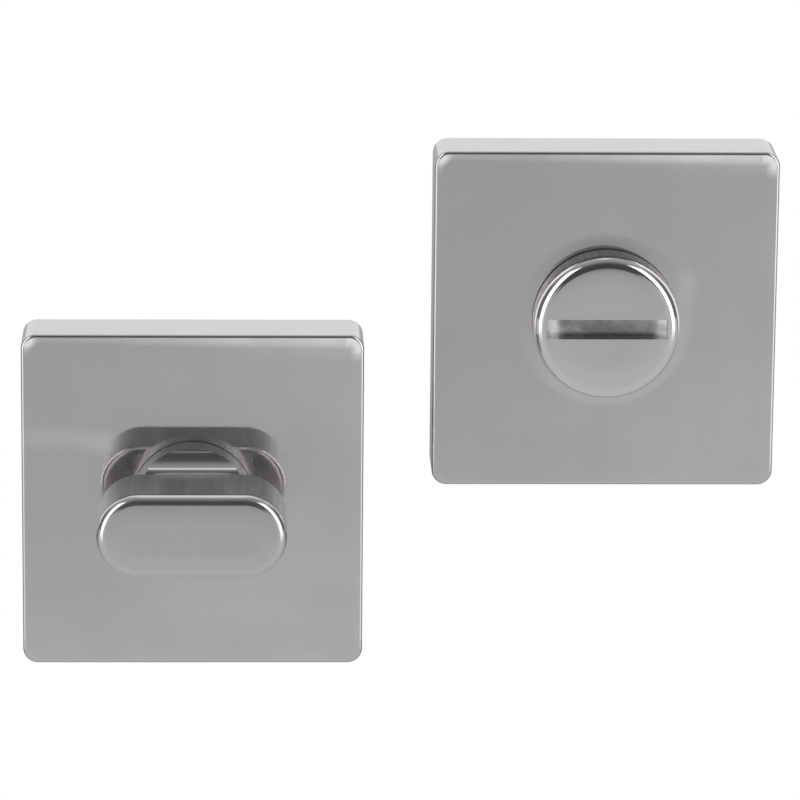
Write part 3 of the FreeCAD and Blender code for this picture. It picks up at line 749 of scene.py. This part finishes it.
def crown_face(shape, face, width, rise):
    """Crown a flat face: rings that step inwards and forwards along a parabola."""
    for ring in range(CROWN_RINGS):
        part = (2 * (CROWN_RINGS - ring) - 1) / CROWN_RINGS ** 2
        bmesh.ops.inset_region(shape, faces=[face], thickness=width / CROWN_RINGS, depth=rise * part,
                               use_even_offset=True)


def mark_walls(shape):
    """Give the walls that run from front to back their own finish."""
    shape.normal_update()
    for face in shape.faces:
        if abs(face.normal.y) < WALL_TILT:
            face.material_index = WALLS


def fill_holes(shape):
    """Close the open ends of a shape."""
    bmesh.ops.holes_fill(shape, edges=[edge for edge in shape.edges if edge.is_boundary], sides=0)
    bmesh.ops.recalc_face_normals(shape, faces=shape.faces)


def new_mesh(name, shape):
    """A mesh from a shape, which is used up."""
    data = bpy.data.meshes.new(name)
    shape.to_mesh(data)
    shape.free()
    return data


def new_object(name, shape):
    """An object in the scene from a shape, which is used up."""
    item = bpy.data.objects.new(name, new_mesh(name, shape))
    bpy.context.scene.collection.objects.link(item)
    return item


def combine(base, tool, operation):
    """Join or cut two closed shapes with the exact boolean. Both are used up."""
    items = [new_object("base", base), new_object("tool", tool)]
    modifier = items[0].modifiers.new("combine", "BOOLEAN")
    modifier.operation = operation
    modifier.solver = "EXACT"
    modifier.object = items[1]
    result = bmesh.new()
    result.from_object(items[0], bpy.context.evaluated_depsgraph_get())
    for item in items:
        data = item.data
        bpy.data.objects.remove(item)
        bpy.data.meshes.remove(data)
    bmesh.ops.remove_doubles(result, verts=result.verts, dist=MERGE)
    if not result.faces:
        raise RuntimeError(f"{operation} left nothing")
    return result


def add_piece(name, shape, body, finishes, nodes):
    """Make the object of a finished shape, smooth it, dress it and give it to the frame."""
    piece = new_object(name, shape)
    piece.data.shade_smooth()
    piece.data.set_sharp_from_angle(angle=SHARP_ANGLE)
    for item in finishes:
        piece.data.materials.append(finish(item))
    evened = piece.modifiers.new("even_normals", "WEIGHTED_NORMAL")
    evened.mode = "FACE_AREA"
    evened.keep_sharp = True
    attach(piece, body)
    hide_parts(*nodes)


def axis_of(node):
    """Where the axis of a half is, from its square cover or another centred node."""
    low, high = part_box(node)
    return (low.x + high.x) / 2, (low.z + high.z) / 2


TURN_AXIS = axis_of("turn_rose_cover")
RELEASE_AXIS = axis_of("release_rose_cover")


def shape_swell(rose, front):
    """The shallow swell that pressing leaves in the outside rose around its bush, sunk into the face."""
    bush_low, bush_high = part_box("release_bush")
    inner = (bush_high.z - bush_low.z) / 2 + rose.bush_play
    sunk = front - rose.front_wall / 2
    profile = [(sunk, inner), (sunk, inner + rose.swell_width)]
    for step in range(SWELL_RINGS + 1):
        rising = step / SWELL_RINGS
        height = rose.swell_rise * rising ** SWELL_POWER
        profile.append((front + height, inner + rose.swell_width * (1 - rising)))
    return turned(profile + profile[:1], RELEASE_AXIS, TURNED_STEPS)


def shape_rose_cover(half, rose):
    """A square block rounded at its corners and around its face, hollowed and bored from behind."""
    node = half + "_rose_cover"
    low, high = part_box(node)
    shape = block(low, high)
    round_edges(shape, edges_lengthwise(shape), rose.corner_radius, CORNER_STEPS)
    round_edges(shape, front_face(shape).edges, rose.edge_radius, EDGE_STEPS)
    walls = Vector((rose.side_wall, 0.0, rose.side_wall))
    room_low = low + walls + Vector((0.0, rose.front_wall, 0.0))
    room_high = high - walls + Vector((0.0, OVERCUT, 0.0))
    shape = combine(shape, block(room_low, room_high), "DIFFERENCE")
    if half == "release":
        shape = combine(shape, shape_swell(rose, -low.y), "UNION")
    across, up = axis_of(node)
    bore = rod((across, low.y - OVERCUT, up), (across, high.y, up), rose.bore_radius, TURNED_STEPS)
    return combine(shape, bore, "DIFFERENCE")


def shape_head(head, front):
    """The stadium head: half a circle spun at each end, filled, thickened and rounded."""
    half = head.thickness / 2
    low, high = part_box("turn_knob")
    straight = (high.x - low.x) / 2 - half
    back = front - head.depth
    rim = front - head.crown_rise
    shape = bmesh.new()
    top = shape.verts.new((straight, -back, half))
    bmesh.ops.spin(shape, geom=[top], cent=(straight, -back, 0.0), axis=(0, 1, 0), angle=math.pi,
                   steps=END_STEPS)
    thicken(shape, (0.0, back - rim, 0.0))
    round_edges(shape, edges_at_depth(shape, rim), head.front_radius, EDGE_STEPS)
    round_edges(shape, edges_at_depth(shape, back), head.back_radius, EDGE_STEPS)
    crown_face(shape, front_face(shape), head.crown_width, head.crown_rise)
    return shape


def shank_rows(stem, back, front):
    """Corners (depth, radius) of a shank with its circlip groove, from its end to its front."""
    return [
        (back, stem.shank_radius),
        (stem.groove_back, stem.shank_radius),
        (stem.groove_back, stem.groove_radius),
        (stem.groove_front, stem.groove_radius),
        (stem.groove_front, stem.shank_radius),
        (front, stem.shank_radius),
    ]


def stem_ring(radius, half_height, flat):
    """Points (x, z) round a section of the stem: a circle, or one cut flat above and below."""
    corner = math.asin(half_height / radius)
    points = []
    for step in range(FLAT_STEPS):
        over = step / FLAT_STEPS
        if flat:
            points.append((radius * math.cos(corner) * (1 - 2 * over), half_height))
        else:
            turn = corner + (math.pi - 2 * corner) * over
            points.append((radius * math.cos(turn), radius * math.sin(turn)))
    for step in range(SIDE_STEPS):
        turn = math.pi - corner + 2 * corner * step / SIDE_STEPS
        points.append((radius * math.cos(turn), radius * math.sin(turn)))
    points += [(-x, -z) for x, z in points]
    return points + points[:1]


def shape_stem(stem, head, back, head_back):
    """Shank, boss and scooped neck: a grid wrapped round the sections, and closed."""
    boss_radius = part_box("turn_knob")[1].z
    neck_half = head.thickness / 2 - stem.neck_step
    corner_share = (neck_half + stem.scoop_radius) / boss_radius
    boss = [(stem.boss_back, boss_radius), (stem.land_front, boss_radius)]
    rows = [(depth, stem_ring(radius, radius * corner_share, flat=False))
            for depth, radius in shank_rows(stem, back, stem.boss_back) + boss]
    for step in range(SCOOP_STEPS + 1):
        turn = math.pi / 2 * step / SCOOP_STEPS
        depth = stem.land_front + stem.scoop_radius * (1 - math.cos(turn))
        half_height = neck_half + stem.scoop_radius * (1 - math.sin(turn))
        rows.append((depth, stem_ring(boss_radius, half_height, flat=True)))
    inside_head = head_back + head.back_radius * 2
    rows.append((inside_head, stem_ring(boss_radius, neck_half, flat=True)))
    shape = bmesh.new()
    columns = 2 * (FLAT_STEPS + SIDE_STEPS)
    grid = bmesh.ops.create_grid(shape, x_segments=columns, y_segments=len(rows) - 1, size=1.0)
    spots = [(x, -depth, z) for depth, ring in rows for x, z in ring]
    for vert, spot in zip(grid["verts"], spots):
        vert.co = spot
    bmesh.ops.remove_doubles(shape, verts=shape.verts, dist=MERGE)
    bmesh.ops.dissolve_degenerate(shape, edges=shape.edges, dist=MERGE)
    fill_holes(shape)
    return shape


def square_hole(axis, back, depth, width):
    """The cutter for a spindle's socket."""
    across, up = axis
    return block((across - width / 2, -back - depth, up - width / 2),
                 (across + width / 2, -back + OVERCUT, up + width / 2))


def shape_slot_cutter(release, front):
    """The cutter of the coin slot: a floor that is flat in the middle and curves up at each end."""
    floor_y = release.slot_depth - front
    flat = release.slot_flat / 2
    radius = release.slot_end_radius
    half = release.slot_width / 2
    across, up = RELEASE_AXIS
    end_angle = math.asin((release.slot_length / 2 - flat) / radius)
    shape = bmesh.new()
    start = shape.verts.new((flat, floor_y, -half))
    bmesh.ops.spin(shape, geom=[start], cent=(flat, floor_y - radius, -half), axis=(0, 0, -1),
                   angle=end_angle, steps=SLOT_STEPS)
    end = max(shape.verts, key=lambda vert: vert.co.x)
    raised = bmesh.ops.extrude_vert_indiv(shape, verts=[end])
    raised["verts"][0].co.y = -front - OVERCUT
    thicken(shape, (0.0, 0.0, release.slot_width))
    bmesh.ops.translate(shape, verts=shape.verts, vec=(across, 0.0, up))
    return shape


def thread(shape, axis, radius, pitch, height):
    """Cut a thread into the longest cylinder of a turned shape: its rows of vertices go to a helix."""
    across, up = axis
    reach = max(edge.calc_length() for edge in shape.edges) - LINE_PLAY
    lines = [edge for edge in shape.edges if abs(edge.verts[0].co.y - edge.verts[1].co.y) > reach]
    start = min(vert.co.y for vert in lines[0].verts)
    end = max(vert.co.y for vert in lines[0].verts)
    rows = round((end - start) / pitch * THREAD_ROWS)
    bmesh.ops.subdivide_edges(shape, edges=lines, cuts=rows, use_grid_fill=True)
    for vert in shape.verts:
        offset = Vector((vert.co.x - across, 0.0, vert.co.z - up))
        inside = min(vert.co.y - start, end - vert.co.y)
        if inside > MERGE and near(offset.length, radius):
            phase = (vert.co.y / pitch - math.atan2(offset.x, offset.z) / math.tau) % 1.0
            flank = 1.0 - abs(2.0 * phase - 1.0)
            run_out = min(1.0, inside / pitch)
            vert.co += offset.normalized() * (height * flank * run_out)


class LOCK_OT_rose_covers(bpy.types.Operator):
    """Model the two square rose covers"""
    bl_idname = "lock.rose_covers"
    bl_label = "Rose covers"

    def execute(self, context):
        for half in ("turn", "release"):
            shape = shape_rose_cover(half, context.scene.lock_rose)
            node = half + "_rose_cover"
            finishes = [f"polished_{half}_rose"]
            add_piece(node + "_polished", shape, "roses", finishes, [node])
        return {"FINISHED"}


class LOCK_OT_thumb_turn(bpy.types.Operator):
    """Model the thumb turn with its head, scooped neck, boss and grooved shank"""
    bl_idname = "lock.thumb_turn"
    bl_label = "Thumb turn"

    def execute(self, context):
        scene = context.scene
        low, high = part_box("turn_knob")
        head_front = -low.y
        head_back = head_front - scene.lock_head.depth
        shank_end = -high.y
        shape = shape_head(scene.lock_head, head_front)
        stem = shape_stem(scene.lock_stem, scene.lock_head, shank_end, head_back)
        shape = combine(shape, stem, "UNION")
        socket = square_hole(TURN_AXIS, shank_end, scene.lock_stem.turn_socket_depth,
                             scene.lock_stem.socket_width)
        shape = combine(shape, socket, "DIFFERENCE")
        screw_low, screw_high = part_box("spindle_set_screw")
        screw_y = (screw_low.y + screw_high.y) / 2
        screw_radius = (screw_high.x - screw_low.x) / 2
        hole = rod((0.0, screw_y, low.z - OVERCUT), (0.0, screw_y, 0.0), screw_radius, SMALL_STEPS)
        shape = combine(shape, hole, "DIFFERENCE")
        mark_walls(shape)
        add_piece("turn_knob_polished", shape, "turn",
                  ["polished_stainless", "satin_stainless"], ["turn_knob"])
        return {"FINISHED"}


class LOCK_OT_coin_release(bpy.types.Operator):
    """Model the release disc with its coin slot and grooved shank"""
    bl_idname = "lock.coin_release"
    bl_label = "Coin release"

    def execute(self, context):
        stem = context.scene.lock_stem
        release = context.scene.lock_release
        low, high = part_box("release_disc")
        across, up = RELEASE_AXIS
        front = -low.y
        back = -high.y
        rim = front - release.crown_rise
        disc_radius = (high.z - low.z) / 2
        shank = [(back, 0.0)] + shank_rows(stem, back, release.disc_back)
        disc = [(release.disc_back, disc_radius), (rim, disc_radius)]
        shape = turned(shank + disc, RELEASE_AXIS, TURNED_STEPS)
        fill_holes(shape)
        round_edges(shape, edges_at_depth(shape, rim), release.edge_radius, EDGE_STEPS)
        crown_face(shape, front_face(shape), release.crown_width, release.crown_rise)
        shape = combine(shape, shape_slot_cutter(release, front), "DIFFERENCE")
        mark_walls(shape)
        slot_side = release.slot_width / 2
        slot_end = release.slot_length / 2 + MERGE
        for face in shape.faces:
            middle = face.calc_center_median()
            beside = max(abs(middle.z - up) - slot_side, abs(middle.x - across) - slot_end)
            inside = beside <= MERGE and -rim + MERGE < middle.y < -front + release.slot_depth + MERGE
            if inside and face.material_index == POLISH:
                face.material_index = SLOT_FLOOR
        socket = square_hole(RELEASE_AXIS, back, stem.release_socket_depth, stem.socket_width)
        shape = combine(shape, socket, "DIFFERENCE")
        add_piece("release_disc_polished", shape, "release",
                  ["polished_disc", "satin_stainless", "milled_slot"], ["release_disc"])
        return {"FINISHED"}


class LOCK_OT_bushes(bpy.types.Operator):
    """Model the flanged bush and the conical spring washer of each half"""
    bl_idname = "lock.bushes"
    bl_label = "Bushes and spring washers"

    def execute(self, context):
        stem = context.scene.lock_stem
        for half, axis in (("turn", TURN_AXIS), ("release", RELEASE_AXIS)):
            self.add_bush(half + "_bush", axis, stem, context.scene.lock_rose)
            self.add_washer(half + "_spring_washer", half, axis, stem)
        return {"FINISHED"}

    @staticmethod
    def add_bush(node, axis, stem, rose):
        """A bush pressed into its rose, with a flange in front."""
        low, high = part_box(node)
        flange = (high.z - low.z) / 2
        seat = -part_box("turn_rose_cover")[0].y
        bore = stem.shank_radius + stem.running_play
        outer = rose.bore_radius - stem.press_play
        profile = [(-high.y, bore), (-high.y, outer), (seat, outer), (seat, flange),
                   (-low.y, flange), (-low.y, bore)]
        shape = turned(profile + profile[:1], axis, TURNED_STEPS)
        round_edges(shape, rim_at(shape, -low.y, flange, axis), stem.moulded_edge, SMALL_EDGE_STEPS)
        round_edges(shape, rim_at(shape, -high.y, outer, axis), stem.moulded_edge, SMALL_EDGE_STEPS)
        add_piece(node + "_moulded", shape, "roses", ["bush_nylon"], [node])

    @staticmethod
    def add_washer(node, body, axis, stem):
        """A conical washer on its shank."""
        low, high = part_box(node)
        outer = (high.z - low.z) / 2
        thick = stem.washer_thickness
        profile = [(-high.y, stem.washer_bore), (-low.y - thick, outer), (-low.y, outer),
                   (-high.y + thick, stem.washer_bore)]
        shape = turned(profile + profile[:1], axis, TURNED_STEPS)
        rims = rim_at(shape, -low.y, outer, axis) + rim_at(shape, -low.y - thick, outer, axis)
        round_edges(shape, rims, stem.moulded_edge, SMALL_EDGE_STEPS)
        add_piece(node + "_sprung", shape, body, ["phosphated_spring"], [node])


class LOCK_OT_fixings(bpy.types.Operator):
    """Model the threaded bolts and sleeves, the set screw and the spindle"""
    bl_idname = "lock.fixings"
    bl_label = "Fixings"

    def execute(self, context):
        fixings = context.scene.lock_fixings
        self.add_pair("turn_fixing_bolts", TURN_AXIS, self.shape_bolt, fixings)
        self.add_pair("release_sleeve_nuts", RELEASE_AXIS, self.shape_sleeve, fixings)
        self.add_set_screw(fixings)
        self.add_spindle(fixings)
        return {"FINISHED"}

    @staticmethod
    def add_pair(node, axis, make, fixings):
        """Two like fixings, left and right of the axis, as one piece."""
        low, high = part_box(node)
        across, up = axis
        head_radius = (high.z - low.z) / 2
        apart = high.x - head_radius - across
        pair = bmesh.new()
        for side in (-1, 1):
            shape = make((across + side * apart, up), -low.y, -high.y, head_radius, fixings)
            data = new_mesh("fixing", shape)
            pair.from_mesh(data)
            bpy.data.meshes.remove(data)
        add_piece(node + "_threaded", pair, "roses", ["bright_zinc"], [node])

    @staticmethod
    def shape_bolt(axis, front, tip, head_radius, fixings):
        """A pan head with a cross recess, a plain neck and a threaded shank."""
        across, up = axis
        radius = fixings.bolt_radius
        profile = [
            (tip, 0.0),
            (tip, radius - fixings.bolt_tip),
            (tip + fixings.bolt_tip, radius),
            (fixings.bolt_neck_end, radius),
            (fixings.bolt_neck_end, fixings.bolt_neck_radius),
            (fixings.head_back, fixings.bolt_neck_radius),
            (fixings.head_back, head_radius),
            (front, head_radius),
            (front, 0.0),
        ]
        shape = turned(profile, axis, SMALL_STEPS)
        round_edges(shape, rim_at(shape, front, head_radius, axis), fixings.head_edge, SMALL_EDGE_STEPS)
        long_half = fixings.cross_length / 2
        thin_half = fixings.cross_width / 2
        bottom = -front + fixings.cross_depth
        for half_x, half_z in ((long_half, thin_half), (thin_half, long_half)):
            arm = block((across - half_x, -front - OVERCUT, up - half_z),
                        (across + half_x, bottom, up + half_z))
            shape = combine(shape, arm, "DIFFERENCE")
        thread(shape, axis, radius, fixings.bolt_pitch, -fixings.bolt_pitch * fixings.thread_share)
        return shape

    @staticmethod
    def shape_sleeve(axis, front, tip, head_radius, fixings):
        """A blind sleeve with a low head, threaded inside."""
        bore = fixings.sleeve_bore
        profile = [
            (fixings.head_back, 0.0),
            (fixings.head_back, bore),
            (tip, bore),
            (tip, fixings.sleeve_radius),
            (fixings.head_back, fixings.sleeve_radius),
            (fixings.head_back, head_radius),
            (front, head_radius),
            (front, 0.0),
        ]
        shape = turned(profile, axis, SMALL_STEPS)
        round_edges(shape, rim_at(shape, front, head_radius, axis), fixings.head_edge, SMALL_EDGE_STEPS)
        height = fixings.bolt_pitch * fixings.thread_share * SLEEVE_THREAD
        thread(shape, axis, bore, fixings.bolt_pitch, height)
        return shape

    @staticmethod
    def add_set_screw(fixings):
        """A headless screw with a hexagon key hole below and a cup point above."""
        low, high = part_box("spindle_set_screw")
        radius = (high.x - low.x) / 2
        level = (low.y + high.y) / 2
        profile = [
            (-high.z, 0.0),
            (-high.z, radius - fixings.screw_cup),
            (-high.z + fixings.screw_cup, radius),
            (-low.z, radius),
            (-low.z, 0.0),
        ]
        shape = turned(profile, TURN_AXIS, SMALL_STEPS)
        key_radius = fixings.key_width / math.sqrt(3.0)
        key = rod((0.0, low.z - OVERCUT, 0.0), (0.0, low.z + fixings.key_depth, 0.0), key_radius, KEY_SIDES)
        shape = combine(shape, key, "DIFFERENCE")
        thread(shape, TURN_AXIS, radius, fixings.screw_pitch, -fixings.screw_pitch * fixings.thread_share)
        bmesh.ops.rotate(shape, verts=shape.verts, matrix=Matrix.Rotation(math.radians(90), 3, "X"))
        bmesh.ops.translate(shape, verts=shape.verts, vec=(0.0, level, 0.0))
        add_piece("spindle_set_screw_threaded", shape, "turn", ["phosphated_spring"],
                  ["spindle_set_screw"])

    @staticmethod
    def add_spindle(fixings):
        """The square bar, its long edges rounded and its ends chamfered."""
        low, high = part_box("spindle")
        shape = block(low, high)
        round_edges(shape, edges_lengthwise(shape), fixings.spindle_edge, SMALL_EDGE_STEPS)
        ends = edges_at_depth(shape, -low.y) + edges_at_depth(shape, -high.y)
        round_edges(shape, ends, fixings.spindle_chamfer, steps=1)
        bmesh.ops.dissolve_degenerate(shape, edges=shape.edges, dist=CLOSE)
        tidy(shape)
        add_piece("spindle_bar", shape, "turn", ["bright_zinc"], ["spindle"])


class LOCK_OT_plain_pieces(bpy.types.Operator):
    """Finish the base plates and clips, which keep their solids' shape"""
    bl_idname = "lock.plain_pieces"
    bl_label = "Base plates and clips"

    def execute(self, context):
        plain = {"turn_base_plate": "plate_nylon", "release_base_plate": "plate_nylon",
                 "turn_circlip": "phosphated_spring", "release_circlip": "phosphated_spring"}
        for node, name in plain.items():
            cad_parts[node].material_slots[0].material = finish(name)
        return {"FINISHED"}


# Tone of the studio over the top of the lock, by the angle from the camera's side in degrees:
# 0 is level in front, 90 straight above and 180 level behind
STUDIO_TONES = (
    (-180, 0.5), (-168, 0.2), (-145, 0.2), (-125, 0.6), (-60, 0.68), (-30, 0.68), (-17.6, 0.61),
    (-15.8, 0.565), (-14, 0.545), (-11, 0.525), (-7.5, 0.44), (-4, 0.06), (20, 0.04), (45, 0.08),
    (58, 0.23), (71, 0.35), (85, 0.385), (100, 0.52), (117, 0.85), (139, 0.95), (180, 1.0),
)
FULL_TURN = 360

# Angles in the studio, in degrees: above the level for floor, lift, wall, foot and top,
# and round about from the camera's side for gap, sides and the part behind
FLOOR_EDGE = -5.0
FLOOR_BLUR = 2.0
WALL_FADE_START = 20.0
WALL_FADE_END = 60.0
GAP_START = 7.0
GAP_END = 17.0
FLOOR_LIFT = 12.0
LIFT_FADE_START = 8.0
LIFT_FADE_END = 30.0
SIDE_START = 33.0
SIDE_END = 66.0
SIDE_BLUR = 1.5
SIDE_FOOT_LOW = -24.0
SIDE_FOOT_HIGH = -6.0
SIDE_TOP = 50.0
SIDE_TOP_BLUR = 1.0
DARK_SIDE_END = 110.0
DARK_SIDE_BLUR = 3.0
BEHIND_START = 140.0
BEHIND_END = 160.0

# Tone of the dark part beyond each softbox
DARK_SIDE_TONE = 0.16


def paint_studio(graph, studio):
    """A white backdrop behind, a softbox at each side, a dark gap in front and a pale floor below."""
    way = graph.add("ShaderNodeTexCoord", output="Generated")
    parts = graph.split(way)
    side = abs(parts)
    toward_camera = -parts.output("Y")
    up = parts.output("Z")
    over = up.bearing(toward_camera)
    round_about = side.bearing(toward_camera)
    rise = up.elevation()
    stops = [(degrees / FULL_TURN + 0.5, tone) for degrees, tone in STUDIO_TONES]
    level = 1 - graph.step(abs(rise), LIFT_FADE_START, LIFT_FADE_END)
    lifted = over - graph.step(round_about, GAP_START, GAP_END) * level * FLOOR_LIFT
    tone = graph.add("ShaderNodeValToRGB", {"stops": stops}, {"Fac": lifted * (1 / FULL_TURN) + 0.5})
    wall = graph.step(rise, FLOOR_EDGE - FLOOR_BLUR, FLOOR_EDGE + FLOOR_BLUR)
    wall = wall * (1 - graph.step(rise, WALL_FADE_START, WALL_FADE_END))
    dark_side = graph.band(round_about, SIDE_END, DARK_SIDE_END, DARK_SIDE_BLUR) * wall
    upright = graph.step(rise, SIDE_FOOT_LOW, SIDE_FOOT_HIGH)
    upright = upright * (1 - graph.step(rise, SIDE_TOP - SIDE_TOP_BLUR, SIDE_TOP + SIDE_TOP_BLUR))
    softbox = graph.band(round_about, SIDE_START, SIDE_END, SIDE_BLUR) * upright
    tone = graph.mix(dark_side, tone, grey(DARK_SIDE_TONE))
    tone = graph.mix(softbox, tone, grey(studio.softbox_level))
    path = graph.add("ShaderNodeLightPath", output="Is Camera Ray")
    mirrored = path.output("Is Glossy Ray") + path.output("Is Transmission Ray")
    behind = graph.step(round_about, BEHIND_START, BEHIND_END) * graph.step(rise, FLOOR_EDGE, -FLOOR_EDGE)
    seen = path + mirrored * behind
    shown = graph.mix(seen, tone, grey(studio.backdrop_level))
    light = graph.add("ShaderNodeBackground", {}, {"Color": shown})
    graph.add("ShaderNodeOutputWorld", {}, {"Surface": light})


# Floor: its two greys, where the lock's shadow fades, and how white the camera sees it in the shadow
FLOOR_GREY = 0.80
FLOOR_PALE = 0.84
SHADOW_FADE_START = 50.0 * MM
SHADOW_FADE_END = 200.0 * MM
SHADOW_WHITENESS = 0.72


def paint_floor(graph):
    """A pale matt floor, white to the camera but for the lock's shadow, and clear from below."""
    grain = graph.noise(scale=40.0, detail=3.0)
    tint = graph.mix(grain, grey(FLOOR_GREY), grey(FLOOR_PALE))
    matt = graph.add("ShaderNodeBsdfDiffuse", {}, {"Color": tint})
    white = graph.add("ShaderNodeEmission", {}, {"Color": opaque(grey(1.0)), "Strength": 1.0})
    distance = graph.vector("LENGTH", graph.place(), output="Value")
    far = graph.step(distance, SHADOW_FADE_START, SHADOW_FADE_END)
    path = graph.add("ShaderNodeLightPath", output="Is Camera Ray")
    shown = path + path.output("Is Glossy Ray") + path.output("Is Transmission Ray")
    whiteness = shown * between(far, SHADOW_WHITENESS, 1.0)
    above = graph.add("ShaderNodeMixShader", {}, {0: whiteness, 1: matt, 2: white})
    below = graph.add("ShaderNodeBsdfTransparent")
    underside = graph.add("ShaderNodeNewGeometry", output="Backfacing")
    surface = graph.add("ShaderNodeMixShader", {}, {0: underside, 1: above, 2: below})
    graph.add("ShaderNodeOutputMaterial", {}, {"Surface": surface})


class LOCK_OT_studio(bpy.types.Operator):
    """Set up the camera, the floor and the light"""
    bl_idname = "lock.studio"
    bl_label = "Studio"

    def execute(self, context):
        studio = context.scene.lock_studio
        self.place_camera(context.scene, studio)
        self.lay_floor(studio)
        world = bpy.data.worlds.new("studio")
        world.use_nodes = True
        paint_studio(Graph(world.node_tree), studio)
        context.scene.world = world
        context.scene.view_settings.view_transform = "Standard"
        return {"FINISHED"}

    @staticmethod
    def place_camera(scene, studio):
        """A camera at its distance from the aim, rolled about its line of sight."""
        azimuth = studio.camera_azimuth
        elevation = studio.camera_elevation
        roll = studio.camera_roll
        forward = Vector((math.sin(azimuth) * math.cos(elevation), math.cos(azimuth) * math.cos(elevation),
                          -math.sin(elevation)))
        right = forward.cross(Vector((0, 0, 1))).normalized()
        up = right.cross(forward)
        rolled_right = right * math.cos(roll) + up * math.sin(roll)
        rolled_up = up * math.cos(roll) - right * math.sin(roll)
        data = bpy.data.cameras.new("camera")
        data.sensor_width = SENSOR_WIDTH
        data.lens = studio.camera_lens
        camera = bpy.data.objects.new("camera", data)
        turn = Matrix((rolled_right, rolled_up, -forward)).transposed()
        spot = Vector(studio.camera_aim) - forward * studio.camera_distance
        camera.matrix_world = Matrix.Translation(spot) @ turn.to_4x4()
        scene.collection.objects.link(camera)
        scene.camera = camera

    @staticmethod
    def lay_floor(studio):
        """A round floor under the lock, which no mirror shows."""
        low, high = CAD_BOX
        shape = bmesh.new()
        bmesh.ops.create_circle(shape, cap_ends=True, segments=TURNED_STEPS, radius=studio.floor_radius)
        floor = new_object("floor", shape)
        paint = bpy.data.materials.new("floor_paint")
        paint.use_nodes = True
        paint_floor(Graph(paint.node_tree))
        floor.data.materials.append(paint)
        floor.location = ((low.x + high.x) / 2, (low.y + high.y) / 2, low.z - studio.floor_drop)
        floor.visible_glossy = False


OPERATORS = (LOCK_OT_rose_covers, LOCK_OT_thumb_turn, LOCK_OT_coin_release, LOCK_OT_bushes, LOCK_OT_fixings,
             LOCK_OT_plain_pieces, LOCK_OT_studio)


class LOCK_PT_pieces(bpy.types.Panel):
    """List the pieces of the lock"""
    bl_idname = "LOCK_PT_pieces"
    bl_label = "Bathroom lock"
    bl_space_type = "VIEW_3D"
    bl_region_type = "UI"
    bl_category = "Lock"

    def draw(self, context):
        for operator in OPERATORS:
            self.layout.operator(operator.bl_idname)
        for name in SETTINGS:
            group = getattr(context.scene, name)
            box = self.layout.box()
            for row in group.bl_rna.properties:
                if row.identifier not in ("name", "rna_type"):
                    box.prop(group, row.identifier)


SETTINGS = {
    "lock_rose": RoseSizes,
    "lock_stem": StemSizes,
    "lock_head": HeadSizes,
    "lock_release": ReleaseSizes,
    "lock_fixings": FixingSizes,
    "lock_colours": FinishColours,
    "lock_studio": StudioSettings,
}


def register():
    for name, group in SETTINGS.items():
        bpy.utils.register_class(group)
        setattr(bpy.types.Scene, name, PointerProperty(type=group))
    for item in OPERATORS + (LOCK_PT_pieces,):
        bpy.utils.register_class(item)


def unregister():
    for item in OPERATORS + (LOCK_PT_pieces,):
        bpy.utils.unregister_class(item)
    for name, group in SETTINGS.items():
        delattr(bpy.types.Scene, name)
        bpy.utils.unregister_class(group)


def main():
    register()
    bpy.ops.lock.rose_covers()
    bpy.ops.lock.thumb_turn()
    bpy.ops.lock.coin_release()
    bpy.ops.lock.bushes()
    bpy.ops.lock.fixings()
    bpy.ops.lock.plain_pieces()
    bpy.ops.lock.studio()


if __name__ == "__main__":
    main()
